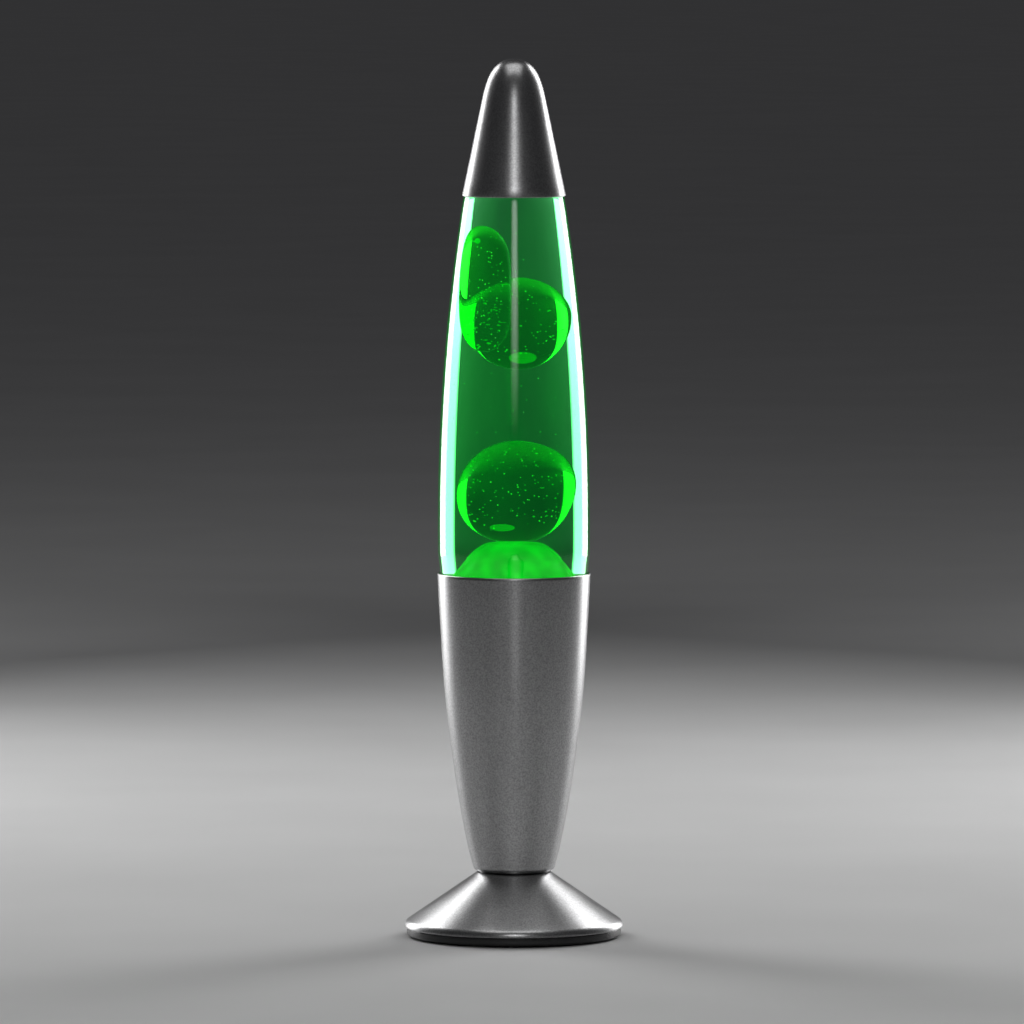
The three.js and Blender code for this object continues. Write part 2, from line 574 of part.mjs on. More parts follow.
function makeBulb() {
  const tip = BULB_TIP_Z;
  const neckRadius = THREAD_MIDDLE_RADIUS - THREAD_DEPTH - 1.2;
  const neckBottom = BULB_THREAD_TOP_Z - 4;
  const side = new THREE.SplineCurve(
    points([
      [neckRadius, BULB_THREAD_TOP_Z + 4],
      [7.4, tip + 30],
      [12.2, tip + 38],
      [17.6, tip + 46],
      [BULB_RADIUS, tip + 54],
      [BULB_RADIUS - 0.9, tip + 59],
      [BULB_RADIUS - 3.8, tip + 63],
    ]),
  );
  const face = new THREE.QuadraticBezierCurve(
    new THREE.Vector2(BULB_RADIUS - 3.8, tip + 63),
    new THREE.Vector2(10.5, BULB_TOP_Z),
    new THREE.Vector2(0, BULB_TOP_Z),
  );
  const outside = [[neckRadius, neckBottom], ...curvePoints(side, 9), ...curvePoints(face, 3).slice(1)];
  const inside = offset(outside, BULB_WALL).reverse();
  inside[0] = [0, BULB_TOP_Z - BULB_WALL];
  inside[inside.length - 1] = [neckRadius - BULB_WALL, neckBottom];
  add("bulb_glass", turned([...outside, ...inside], SMALL_FACETS + 6), clearGlass);

  const capBore = neckRadius + GAP;
  const threaded = threadedBar(THREAD_MIDDLE_RADIUS, BULB_THREAD_BOTTOM_Z, BULB_THREAD_TOP_Z);
  const collar = disc(THREAD_MIDDLE_RADIUS, BULB_THREAD_TOP_Z - 0.5, BULB_THREAD_TOP_Z + 3.6);
  const hollow = disc(capBore, neckBottom - 8, LAMP_HEIGHT);
  const capSolid = solidOf(threaded).add(solidOf(collar)).subtract(solidOf(hollow));
  add("bulb_screw_cap", geometryOf(capSolid), brass);
  add(
    "bulb_insulator",
    turned([[0, tip + 1.2], [3.4, tip + 1.2], [5.6, tip + 4.6], [5.6, tip + 5.5], [0, tip + 5.5]]),
    blackPlastic,
  );
  add("bulb_tip_contact", disc(2.4, tip, tip + 1.2), brass);

  const stemTop = tip + 36;
  const stem = turned([
    [0, neckBottom - 1],
    [neckRadius, neckBottom - 1],
    [neckRadius, neckBottom],
    [3.4, neckBottom],
    [2.2, neckBottom + 8],
    [1.8, stemTop],
    [0, stemTop],
  ]);
  add("bulb_stem", stem, clearGlass);
  const filamentZ = tip + 46;
  const filament = curveThrough([
    [-0.9, 0, stemTop],
    [-3.2, 0, stemTop + 4],
    [-5.4, 0, filamentZ - 1],
    [-4.6, 0, filamentZ],
    [-2.4, 1.2, filamentZ + 0.6],
    [0, 1.8, filamentZ + 0.8],
    [2.4, 1.2, filamentZ + 0.6],
    [4.6, 0, filamentZ],
    [5.4, 0, filamentZ - 1],
    [3.2, 0, stemTop + 4],
    [0.9, 0, stemTop],
  ]);
  add("bulb_filament", wireAlong(filament, 0.2, 40, 4).translate(0, 0, GAP), steel);
}

// ---- Bottle and what is in it -------------------------------------------------------------------

function makeBottle() {
  const outside = bottleSide(7);
  const bead = [
    [NECK_BEAD_RADIUS, NECK_TOP_Z - NECK_BEAD_HEIGHT],
    [NECK_BEAD_RADIUS, NECK_TOP_Z - 1],
    [NECK_BEAD_RADIUS - 0.9, NECK_TOP_Z],
    [NECK_BORE_RADIUS + 0.4, NECK_TOP_Z],
    [NECK_BORE_RADIUS, NECK_TOP_Z - 0.6],
  ];
  const floorZ = BOTTLE_BOTTOM_Z + BOTTLE_BASE;
  const inside = bottleInside.filter(([, z]) => z > floorZ).reverse();
  const pushUp = [
    [0, BOTTLE_BOTTOM_Z + 1.4],
    [16, BOTTLE_BOTTOM_Z + 1.0],
    [22, BOTTLE_BOTTOM_Z],
  ];
  const floor = [
    [22, floorZ],
    [0, floorZ + 1.0],
  ];
  const profile = [...pushUp, ...outside, ...bead, ...inside, ...floor];
  add("glass_bottle", turned(profile, SHELL_FACETS), clearGlass);
}

function makeClosure() {
  const linerTop = NECK_TOP_Z + LINER_THICKNESS;
  add("crown_liner", disc(NECK_BEAD_RADIUS - 0.4, NECK_TOP_Z, linerTop), sealRubber);
  const top = linerTop + CROWN_SHEET;
  const bottom = top - CROWN_HEIGHT;
  add(
    "crown_closure",
    turned(
      [
        [CROWN_RADIUS - CROWN_SHEET, bottom],
        [CROWN_RADIUS, bottom],
        [NECK_BEAD_RADIUS + 1.2, top - 1.6],
        [NECK_BEAD_RADIUS - 0.2, top],
        [0, top],
        [0, linerTop],
        [NECK_BEAD_RADIUS - 0.2, linerTop],
        [NECK_BEAD_RADIUS + 0.4, top - 2.0],
        [NECK_BEAD_RADIUS + 0.8, bottom + 2],
      ],
      SHELL_FACETS,
    ),
    steel,
  );
}

// The wax pool's dome, with an extra thickness for the space it needs
function poolDome(extra) {
  return [
    [insideRadius(HOLDER_RIM_Z - 16) - GAP, HOLDER_RIM_Z - 16 + extra],
    [26.5 + extra, HOLDER_RIM_Z - 8.5 + extra],
    [POOL_WAIST_RADIUS + extra, HOLDER_RIM_Z + extra],
    [14.6 + extra, HOLDER_RIM_Z + 8.2 + extra],
    [8.6, POOL_TOP_Z - 2.4 + extra],
    [0, POOL_TOP_Z + extra],
  ];
}

function makePool() {
  const floor = BOTTLE_BOTTOM_Z + BOTTLE_BASE + 1.0 + GAP;
  const notchInside = COIL_RING_RADIUS - COIL_RADIUS - COIL_WIRE_RADIUS - GAP;
  const notchTop = floor + 2 * (COIL_RADIUS + COIL_WIRE_RADIUS) + 0.6;
  const outer = insideRadius(notchTop) - GAP;
  const base = [
    [0, floor],
    [notchInside, floor],
    [notchInside, notchTop],
    [outer, notchTop],
  ];
  add("wax_pool", turned([...base, ...poolDome(0)], SHELL_FACETS), wax);
}

// Coiled wire ring that lies round the bottle's floor and breaks up the falling wax
function makeCoil() {
  const coilZ = BOTTLE_BOTTOM_Z + BOTTLE_BASE + COIL_RADIUS + COIL_WIRE_RADIUS + GAP + 0.1;
  const perTurn = 6;
  const count = COIL_TURNS * perTurn;
  const path = curveThrough(
    Array.from({ length: count }, (_, i) => {
      const round = (2 * Math.PI * i) / count;
      const twist = (2 * Math.PI * i) / perTurn;
      const r = COIL_RING_RADIUS + COIL_RADIUS * Math.cos(twist);
      return [r * Math.cos(round), r * Math.sin(round), coilZ + COIL_RADIUS * Math.sin(twist)];
    }),
  );
  add("wire_coil", wireAlong(path, COIL_WIRE_RADIUS, count, 4), steel);
}

// A blob, or the space it sweeps as it rises and sinks: an ellipsoid, drawn out by its travel down and up
function ellipsoid({ at, half }, extra = 0, down = 0, up = 0) {
  const [a, b, c] = half.map((size) => size + extra);
  const quarter = (fromDegrees, toDegrees, lift) =>
    arc([0, 0], 1, fromDegrees, toDegrees, 6).map(([r, z]) => [r < 1e-9 ? 0 : r, c * z + lift]);
  const middle = down + up > 0 ? 0 : 1;
  const profile = [...quarter(-90, 0, -down), ...quarter(0, 90, up).slice(middle)];
  return turned(profile, BLOB_FACETS).scale(a, b, 1).translate(...at);
}

function makeBlobs() {
  for (const [name, blob] of Object.entries(BLOBS)) add(name, ellipsoid(blob), wax);
}

function makeLiquid() {
  const top = LIQUID_LEVEL_Z;
  const bottom = HOLDER_RIM_Z - 16;
  const heights = [bottom, 168, 191, 232, 259, 286, 314, 340, 349, top];
  const side = heights.map((z) => [insideRadius(z) - GAP, z]);
  const sweeps = Object.values(BLOBS).map((blob) => ellipsoid(blob, GAP, blob.down, blob.up));
  const body = turned([[0, bottom], ...side, [0, top]], SHELL_FACETS);
  const below = [
    [0, bottom - 5],
    [FOOT_RADIUS, bottom - 5],
    [FOOT_RADIUS, bottom],
  ];
  const poolSpace = turned([...below, ...poolDome(GAP)], SHELL_FACETS);
  add("lamp_liquid", cut(body, poolSpace, ...sweeps), liquidDye);
}

// ---- Cap ----------------------------------------------------------------------------------------

function makeCap() {
  const outside = capOutline();
  const inside = offset(outside, CAP_SHEET).reverse();
  inside[0] = [0, LAMP_HEIGHT - CAP_SHEET];
  inside[inside.length - 1] = [CAP_RIM_RADIUS - CAP_SHEET, CAP_RIM_Z];
  add("metal_cap", turned([...outside, ...inside], SHELL_FACETS), aluminium);
}

// ---- Wiring -------------------------------------------------------------------------------------

function makeWiring() {
  const [length, depth, height] = BLOCK_SIZE;
  const blockTop = PLATE_TOP_Z + height;
  const poles = [-1, 0, 1].map((i) => (i * length) / 3);
  const leadZ = PLATE_TOP_Z + height / 2;
  const block = new THREE.BoxGeometry(length, depth, height).translate(0, BLOCK_Y, leadZ);
  const wellBottom = blockTop - 1.2;
  const wells = poles.map((x) =>
    disc(BLOCK_SCREW_RADIUS + GAP, wellBottom, blockTop + 1).translate(x, BLOCK_Y, 0),
  );
  const cordHoles = poles.map((x) => {
    const hole = new THREE.CylinderGeometry(BLOCK_HOLE_RADIUS, BLOCK_HOLE_RADIUS, 4, 12);
    return hole.translate(x, BLOCK_Y + depth / 2, leadZ);
  });
  add("terminal_block", cut(block, ...wells, ...cordHoles), porcelain);
  poles.forEach((x, i) => {
    const head = disc(BLOCK_SCREW_RADIUS, wellBottom, blockTop - 0.2);
    const slot = new THREE.BoxGeometry(0.5, 5, 0.6).translate(0, 0, blockTop - 0.2);
    add(`block_screw_${i + 1}`, cut(head, slot), brass, [x, BLOCK_Y, 0]);
  });
  // Leads leave the block's front, turn up through the clamp tube and end under the terminals.
  const frontY = BLOCK_Y - depth / 2 - GAP;
  const terminalZ = SOCKET_BASE_TOP_Z - TERMINAL_HEAD - GAP;
  for (const [name, side, finish] of [["lead_live", 1, brownWire], ["lead_neutral", -1, blueWire]]) {
    const route = curveThrough([
      [(side * length) / 3, frontY, leadZ],
      [(side * length) / 3, frontY * 0.7, leadZ + 0.3],
      [side * 4, frontY * 0.3, leadZ + 2],
      [side * 1.9, frontY * 0.05, leadZ + 7],
      [side * 1.7, 0, TUBE_BOTTOM_Z],
      [side * 1.7, 0, TUBE_TOP_Z],
      [side * 2.6, 0, TUBE_TOP_Z + 1.8],
      [side * (TERMINAL_SPACING - 0.6), 0, terminalZ - 3],
      [side * TERMINAL_SPACING, 0, terminalZ],
    ]);
    add(name, wireAlong(route, WIRE_RADIUS, 32, 6), finish);
  }
  const tagZ = FOOT_TOP_Z - SHEET - 2 * WASHER_THICKNESS - GAP - WIRE_RADIUS;
  const earthRoute = curveThrough([
    [0, frontY, leadZ],
    [0, frontY - 2, leadZ],
    [0, frontY - 4, leadZ + 2.5],
    [0, frontY - 4, leadZ + 9],
    [0, WASHER_RADIUS + 2.6, tagZ - 2],
    [0, WASHER_RADIUS + 4.6, tagZ],
  ]);
  add("lead_earth", wireAlong(earthRoute, WIRE_RADIUS, 20, 6), earthWire);
}

makeFoot();
makeBasePlate();
makeGland();
makeClamp();
makeHolder();
makeLampholder();
makeBulb();
makeBottle();
makeClosure();
makePool();
makeCoil();
makeBlobs();
makeLiquid();
makeCap();
makeWiring();

export default lamp;
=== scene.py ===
# %% [markdown]
# # A lava lamp
# The lamp is a glass bottle of dyed liquid and clear wax. It stands in a tapered aluminium holder on a cone
# of the same metal, under a pointed aluminium cap. A bulb hidden in the holder lights and warms the wax.
# This script rebuilds what the eye sees, piece by piece, around a solid model that already knows how the
# lamp moves: the bottle lifts out, the cap lifts off, the bulb unscrews and the wax drifts.

# %% Load the frame
import json
import math
import random

import bmesh
import bpy
from mathutils import Matrix, Vector, noise


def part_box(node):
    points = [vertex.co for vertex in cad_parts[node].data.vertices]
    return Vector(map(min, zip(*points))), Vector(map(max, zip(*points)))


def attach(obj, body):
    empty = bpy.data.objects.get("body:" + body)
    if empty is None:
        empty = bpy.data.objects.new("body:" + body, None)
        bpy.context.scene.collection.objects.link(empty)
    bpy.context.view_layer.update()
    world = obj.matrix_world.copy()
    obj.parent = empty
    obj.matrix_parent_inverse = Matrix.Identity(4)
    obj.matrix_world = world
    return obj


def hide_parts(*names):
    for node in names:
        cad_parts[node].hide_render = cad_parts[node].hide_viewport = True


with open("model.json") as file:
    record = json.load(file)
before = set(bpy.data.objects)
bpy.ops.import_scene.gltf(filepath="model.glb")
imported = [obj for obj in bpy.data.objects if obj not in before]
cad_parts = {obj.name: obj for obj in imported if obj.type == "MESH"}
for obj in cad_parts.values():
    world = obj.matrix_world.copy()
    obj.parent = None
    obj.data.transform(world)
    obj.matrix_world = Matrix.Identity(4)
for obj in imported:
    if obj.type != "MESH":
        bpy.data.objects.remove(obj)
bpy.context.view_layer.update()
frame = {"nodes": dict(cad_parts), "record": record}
MM = 0.001

# %% [markdown]
# Every level below is read from the frame's own boxes, so this model and the solid one can't drift apart.
# The outlines are written in millimetres, as a turner would write them, and scaled once when a piece is spun.

# %% Levels and radii from the frame


def top_of(node):
    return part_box(node)[1].z / MM


def bottom_of(node):
    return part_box(node)[0].z / MM


def radius_of(node):
    low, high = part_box(node)
    return (high.x - low.x) / 2 / MM


LAMP_TOP = top_of("metal_cap")
CAP_RIM = bottom_of("metal_cap")
CAP_RADIUS = radius_of("metal_cap")
HOLDER_RIM = top_of("holder_sleeve")
HOLDER_FLOOR = bottom_of("holder_sleeve")
HOLDER_RADIUS = radius_of("holder_sleeve")
FOOT_TOP = top_of("foot_cone")
FOOT_EDGE = bottom_of("foot_cone")
FOOT_RADIUS = radius_of("foot_cone")
BOTTLE_BOTTOM = bottom_of("glass_bottle")
BOTTLE_RADIUS = radius_of("glass_bottle")
NECK_TOP = top_of("glass_bottle")
levels = {"lamp top": LAMP_TOP, "holder rim": HOLDER_RIM, "bottle floor": BOTTLE_BOTTOM}
print({name: round(level, 1) for name, level in levels.items()})

# %% [markdown]
# Nearly everything on this lamp is round: the metal is spun over a form, and the glass is blown in a mould.
# So the main tool is the spin. An outline of radius and height is drawn once and turned about the lamp's
# axis. `smooth_line` draws a fair curve through a few points, and `corner` rounds a corner.

# %% Outline and spin helpers
ROUND_STEPS = 120
SMOOTH_ANGLE = math.radians(35)
MERGE_DISTANCE = 1e-7


def corner(centre, radius, start, end, steps=6):
    angles = [math.radians(start + (end - start) * i / steps) for i in range(steps + 1)]
    return [(centre[0] + radius * math.cos(a), centre[1] + radius * math.sin(a)) for a in angles]


def smooth_line(points, per_span=6):
    ends = [points[0], *points, points[-1]]
    line = []
    for a, b, c, d in zip(ends, ends[1:], ends[2:], ends[3:]):
        for i in range(per_span):
            t = i / per_span
            line.append(tuple(
                0.5 * (
                    2 * q + (r - p) * t + (2 * p - 5 * q + 4 * r - s) * t * t
                    + (3 * q - p - 3 * r + s) * t ** 3
                )
                for p, q, r, s in zip(a, b, c, d)
            ))
    return [*line, tuple(points[-1])]


def inward(line, distance):
    moved = []
    for i, (r, z) in enumerate(line):
        (r0, z0), (r1, z1) = line[max(i - 1, 0)], line[min(i + 1, len(line) - 1)]
        length = math.hypot(r1 - r0, z1 - z0)
        moved.append((r - distance * (z1 - z0) / length, z + distance * (r1 - r0) / length))
    return moved


def finish_mesh(name, bm, body, replaced=(), angle=SMOOTH_ANGLE):
    bmesh.ops.remove_doubles(bm, verts=bm.verts, dist=MERGE_DISTANCE)
    bmesh.ops.recalc_face_normals(bm, faces=bm.faces)
    mesh = bpy.data.meshes.new(name)
    bm.to_mesh(mesh)
    bm.free()
    mesh.shade_smooth()
    mesh.set_sharp_from_angle(angle=angle)
    piece = bpy.data.objects.new(name, mesh)
    bpy.context.scene.collection.objects.link(piece)
    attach(piece, body)
    if replaced:
        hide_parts(*replaced)
    print(name, len(mesh.polygons), "faces")
    return piece


def spin_outline(outline, steps=ROUND_STEPS):
    bm = bmesh.new()
    corners = [bm.verts.new((r * MM, 0, z * MM)) for r, z in outline]
    on_axis = outline[0][0] == 0 and outline[-1][0] == 0
    pairs = list(zip(corners, corners[1:]))
    if not on_axis:
        pairs.append((corners[-1], corners[0]))
    edges = [bm.edges.new(pair) for pair in pairs]
    bmesh.ops.spin(
        bm, geom=corners + edges, cent=(0, 0, 0), axis=(0, 0, 1), angle=2 * math.pi, steps=steps,
        use_merge=True,
    )
    bmesh.ops.remove_doubles(bm, verts=bm.verts, dist=MERGE_DISTANCE)
    return bm


# %% [markdown]
# ## Finishes
# Each finish is a small node tree on one Principled shader. `new_finish` makes the shader and hands back
# what is needed to hang detail on it. All patterns read Object coordinates, which here are the lamp's own
# metres, so a scale of 1000 means a pattern about a millimetre across.

# %% Finish helpers
MAP_SOCKETS = ("From Min", "From Max", "To Min", "To Max")


def new_finish(name, **values):
    material = bpy.data.materials.new(name)
    material.use_nodes = True
    shader = material.node_tree.nodes["Principled BSDF"]
    for socket, value in values.items():
        shader.inputs[socket.replace("_", " ")].default_value = value
    return material, shader


def pattern(material, scale, stretch=(1, 1, 1), detail=3.0):
    nodes, links = material.node_tree.nodes, material.node_tree.links
    place = nodes.new("ShaderNodeTexCoord")
    mapping = nodes.new("ShaderNodeMapping")
    mapping.inputs["Scale"].default_value = stretch
    texture = nodes.new("ShaderNodeTexNoise")
    texture.inputs["Scale"].default_value = scale
    texture.inputs["Detail"].default_value = detail
    links.new(place.outputs["Object"], mapping.inputs["Vector"])
    links.new(mapping.outputs["Vector"], texture.inputs["Vector"])
    return texture.outputs[0]


def ramp(material, source, stops):
    node = material.node_tree.nodes.new("ShaderNodeValToRGB")
    material.node_tree.links.new(source, node.inputs["Fac"])
    for element, (position, colour) in zip(node.color_ramp.elements, (stops[0], stops[-1])):
        element.position = position
        element.color = (*colour, 1)
    for position, colour in stops[1:-1]:
        node.color_ramp.elements.new(position).color = (*colour, 1)
    return node.outputs["Color"]


def spread(material, source, low, high, from_low=0.3, from_high=0.7):
    node = material.node_tree.nodes.new("ShaderNodeMapRange")
    for socket, value in zip(MAP_SOCKETS, (from_low, from_high, low, high)):
        node.inputs[socket].default_value = value
    material.node_tree.links.new(source, node.inputs["Value"])
    return node.outputs["Result"]


def wire(material, source, shader, socket):
    material.node_tree.links.new(source, shader.inputs[socket])


def bump(material, shader, height, strength, distance):
    node = material.node_tree.nodes.new("ShaderNodeBump")
    node.inputs["Strength"].default_value = strength
    node.inputs["Distance"].default_value = distance
    material.node_tree.links.new(height, node.inputs["Height"])
    material.node_tree.links.new(node.outputs["Normal"], shader.inputs["Normal"])


# %% [markdown]
# The aluminium is satin, with a grain too fine to count. It could be an image, but a noise less than a
# millimetre across keeps its scale on every piece. The grain drives both tone and height, and slow clouds
# shift the roughness. Steel and brass share one plainer recipe.

# %% Metal finishes
GRAIN_DEPTH = 0.00003


def satin_aluminium():
    material, shader = new_finish("satin_aluminium", Metallic=1.0, Roughness=0.3)
    grain = pattern(material, 1300, detail=2.0)
    clouds = pattern(material, 55, stretch=(1, 1, 0.35), detail=4.0)
    tones = ramp(material, grain, [(0.3, (0.29, 0.29, 0.293)), (0.7, (0.47, 0.47, 0.475))])
    wire(material, tones, shader, "Base Color")
    wire(material, spread(material, clouds, 0.27, 0.34), shader, "Roughness")
    bump(material, shader, grain, 0.3, GRAIN_DEPTH)
    return material


def plain_metal(name, dark, light, rough):
    material, shader = new_finish(name, Metallic=1.0)
    patches = pattern(material, 300, detail=4.0)
    wire(material, ramp(material, patches, [(0.3, dark), (0.7, light)]), shader, "Base Color")
    wire(material, spread(material, patches, rough * 0.8, rough * 1.3), shader, "Roughness")
    return material


aluminium = satin_aluminium()
steel = plain_metal("plated_steel_finish", (0.42, 0.42, 0.43), (0.58, 0.58, 0.6), 0.28)
brass = plain_metal("brass_finish", (0.55, 0.38, 0.13), (0.72, 0.53, 0.22), 0.3)

# %% [markdown]
# Moulded things differ in colour, gloss and how coarse their skin is, and in little else. So one function
# makes them all: clouds for tone and roughness, and a fine speckle for the skin.

# %% Plastic, rubber and ceramic finishes


def moulded(name, dark, light, rough, grain_scale=1500, grain=0.15):
    material, shader = new_finish(name)
    speckle = pattern(material, grain_scale, detail=2.0)
    clouds = pattern(material, 120, detail=3.0)
    wire(material, ramp(material, clouds, [(0.3, dark), (0.7, light)]), shader, "Base Color")
    wire(material, spread(material, clouds, rough * 0.85, rough * 1.15), shader, "Roughness")
    bump(material, shader, speckle, grain, GRAIN_DEPTH)
    return material


black_plastic = moulded("black_plastic_finish", (0.006, 0.006, 0.007), (0.014, 0.014, 0.015), 0.25)
black_rubber = moulded("black_rubber_finish", (0.01, 0.01, 0.01), (0.022, 0.021, 0.02), 0.75, 900, 0.3)
white_plastic = moulded("white_plastic_finish", (0.66, 0.65, 0.6), (0.76, 0.75, 0.7), 0.4)
porcelain = moulded("porcelain_finish", (0.7, 0.68, 0.63), (0.8, 0.78, 0.74), 0.2, 600, 0.08)
brown_wire = moulded("brown_wire_finish", (0.1, 0.035, 0.015), (0.16, 0.06, 0.03), 0.4)
blue_wire = moulded("blue_wire_finish", (0.015, 0.06, 0.3), (0.03, 0.1, 0.42), 0.4)
green_wire = moulded("green_wire_finish", (0.1, 0.35, 0.03), (0.2, 0.5, 0.06), 0.4)

# %% [markdown]
# Glass, liquid and wax are the heart of the lamp. The bottle is clear glass with a faint blue-green tint.
# The liquid is dyed, so it darkens with depth: that is a Volume Absorption. The wax is clear too, a little
# denser than the liquid, so each blob is a lens that bends the light from the sides into bright crescents.
# Where the liquid wets the glass, light steps straight from one to the other, so the wetted faces carry
# the small step in index between them, and the liquid's own skin has none.

# %% Glass and liquid finishes, with the liquid's painted glow
GLASS_INDEX = 1.5
LIQUID_INDEX = 1.36
SMEAR_SCALE = 90
SMEAR_STRETCH = (1, 1, 0.25)
LIQUID_DYE = (0.0, 0.86, 0.2)
LIQUID_DYE_DENSITY = 42.0
LIQUID_PAINTED_GLOW = 0.14


def absorb(material, colour, density):
    node = material.node_tree.nodes.new("ShaderNodeVolumeAbsorption")
    node.inputs["Color"].default_value = (*colour, 1)
    node.inputs["Density"].default_value = density
    output = material.node_tree.nodes["Material Output"]
    material.node_tree.links.new(node.outputs["Volume"], output.inputs["Volume"])


# Paints light: an emission in cloudy tones, in place of the bulb's light in the liquid and the wax.
def glow(material, shader, scale, dark, light, strength, stretch=(1, 1, 1)):
    clouds = pattern(material, scale, stretch=stretch, detail=3.0)
    wire(material, ramp(material, clouds, [(0.35, dark), (0.7, light)]), shader, "Emission Color")
    shader.inputs["Emission Strength"].default_value = strength


def bottle_glass():
    material, shader = new_finish("bottle_glass", Roughness=0.0, IOR=GLASS_INDEX, Transmission_Weight=1.0)
    smears = pattern(material, SMEAR_SCALE, SMEAR_STRETCH)
    tint = ramp(material, smears, [(0.2, (0.88, 0.985, 0.975)), (0.8, (0.93, 1.0, 0.99))])
    wire(material, tint, shader, "Base Color")
    wire(material, spread(material, smears, 0.0, 0.02), shader, "Roughness")
    return material


def wetted_glass():
    step = GLASS_INDEX / LIQUID_INDEX
    material, shader = new_finish("wetted_glass", Roughness=0.0, IOR=step, Transmission_Weight=1.0)
    smears = pattern(material, SMEAR_SCALE, SMEAR_STRETCH)
    tint = ramp(material, smears, [(0.2, (0.9, 1.0, 0.97)), (0.8, (1.0, 1.0, 1.0))])
    wire(material, tint, shader, "Base Color")
    return material


def dyed_liquid_painted_glow(name, index):
    material, shader = new_finish(name, Roughness=0.0, IOR=index, Transmission_Weight=1.0)
    shader.inputs["Base Color"].default_value = (0.8, 1.0, 0.95, 1)
    # Painted glow: the liquid gives off a little light of its own, in place of the bulb's light shining up
    # through it.
    glow(material, shader, 26, (0.0, 0.16, 0.05), (0.0, 0.62, 0.07), LIQUID_PAINTED_GLOW, stretch=(1, 1, 0.3))
    absorb(material, LIQUID_DYE, LIQUID_DYE_DENSITY)
    return material


glass = bottle_glass()
wet_glass = wetted_glass()
liquid = dyed_liquid_painted_glow("dyed_liquid_painted_glow", 1.0)
liquid_surface = dyed_liquid_painted_glow("liquid_surface", LIQUID_INDEX)
print("glass and liquid ready")

# %% [markdown]
# The bulb below fills the wax with light, and here that light is painted: the wax has a faint glow of its
# own. It could be made stronger at the edges by the angle it is seen from, but such an edge would slide as
# one walks round the lamp. So the painted glow is even, and the paler edge comes from the shader's own
# Sheen, which is lit by the soft boxes.

# %% Wax finishes, with painted glow
WAX_CLOUDS = 90
WAX_DYE = (0.0, 0.6, 0.0)
WAX_DYE_DENSITY = 55.0
WAX_SHEEN = 1.0
WAX_SHEEN_ROUGHNESS = 0.3
WAX_SHEEN_TINT = (0.1, 1.0, 0.15, 1)


def clear_wax_painted_glow(name, strength, ior):
    material, shader = new_finish(name, Roughness=0.0, IOR=ior, Transmission_Weight=1.0)
    shader.inputs["Base Color"].default_value = (0.12, 0.95, 0.08, 1)
    shader.inputs["Sheen Weight"].default_value = WAX_SHEEN
    shader.inputs["Sheen Roughness"].default_value = WAX_SHEEN_ROUGHNESS
    shader.inputs["Sheen Tint"].default_value = WAX_SHEEN_TINT
    # Painted glow: an even emission in place of the bulb's light inside the wax
    glow(material, shader, WAX_CLOUDS, (0.0, 0.4, 0.004), (0.0, 0.62, 0.012), strength)
    absorb(material, WAX_DYE, WAX_DYE_DENSITY)
    return material


def pool_wax_painted_glow():
    material, shader = new_finish("pool_wax_painted_glow", Roughness=0.16)
    shader.inputs["Base Color"].default_value = (0.0, 0.2, 0.004, 1)
    # Painted light: the mound glows strongly, in place of the bulb's light shining up into it from below.
    glow(material, shader, 150, (0.0, 0.42, 0.004), (0.0, 0.72, 0.012), 1.0)
    return material


def speck_wax_painted_glow():
    material, shader = new_finish("speck_wax_painted_glow", Roughness=0.2)
    shader.inputs["Base Color"].default_value = (0.1, 0.9, 0.15, 1)
    # Painted light: the specks glow brighter than the wax around them, in place of the bulb's light caught in
    # tiny bubbles.
    glow(material, shader, 400, (0.0, 0.45, 0.03), (0.16, 0.85, 0.16), 1.3)
    return material


# The blobs' painted glow is faint, and the trapped drops' is strong enough to show them pale
blob_wax_painted_glow = clear_wax_painted_glow("blob_wax_painted_glow", 0.03, 1.06)
droplet_wax_painted_glow = clear_wax_painted_glow("droplet_wax_painted_glow", 0.45, 1.02)
mound_wax_painted_glow = pool_wax_painted_glow()
speck_painted_glow = speck_wax_painted_glow()
print("wax finishes ready")

# %% [markdown]
# ## The foot, the holder and the cap
# These are spun sheet: a disc pressed over a turning form until it takes its shape. Spun metal has even
# walls, soft corners and a rolled edge, and the outline of each piece is drawn with those.

# %% Foot outline
SHEET = 1.0
FOOT_SLOPE = 1.426
FOOT_NECK_RADIUS = 17.9
EDGE_ROUND = 4.0
CURL = 0.6
CROWN_ROUND = 0.5
CLAMP_HOLE = 5.3
STRAIGHT_STEPS = 12


def foot_outline():
    slope = math.atan(FOOT_SLOPE)
    corner_z = FOOT_TOP - (FOOT_RADIUS - FOOT_NECK_RADIUS) / FOOT_SLOPE
    round_z = corner_z - EDGE_ROUND * math.tan(slope / 2)
    curl = corner((FOOT_RADIUS - CURL, FOOT_EDGE + CURL), CURL, -90, -10, 4)
    edge = corner((FOOT_RADIUS - EDGE_ROUND, round_z), EDGE_ROUND, 0, math.degrees(slope), 10)
    top = corner((FOOT_NECK_RADIUS - 0.8, FOOT_TOP - CROWN_ROUND), CROWN_ROUND, 40, 90, 4)
    straight = [
        tuple(a + (b - a) * i / STRAIGHT_STEPS for a, b in zip(edge[-1], top[0]))
        for i in range(1, STRAIGHT_STEPS)
    ]
    return [*curl, *edge, *straight, *top]


def foot_section():
    outside = foot_outline()
    inside = [p for p in inward(outside, SHEET)[6:-4] if p[1] < FOOT_TOP - SHEET]
    lip = (FOOT_RADIUS - CURL - SHEET, FOOT_EDGE)
    under_crown = FOOT_TOP - SHEET
    crown = [(CLAMP_HOLE, FOOT_TOP), (CLAMP_HOLE, under_crown), (FOOT_NECK_RADIUS - 1.5, under_crown)]
    return [*outside, *crown, *reversed(inside), lip]


# %% [markdown]
# At the back of the foot the sheet is notched for the cord's rubber bush. The notch is cut with a Boolean,
# which is then applied, so what is left is a plain mesh.

# %% Foot
BUSH_LOW, BUSH_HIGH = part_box("cord_gland")
BUSH_Z = (BUSH_LOW.z + BUSH_HIGH.z) / 2
NOTCH_RADIUS = 5.5 * MM


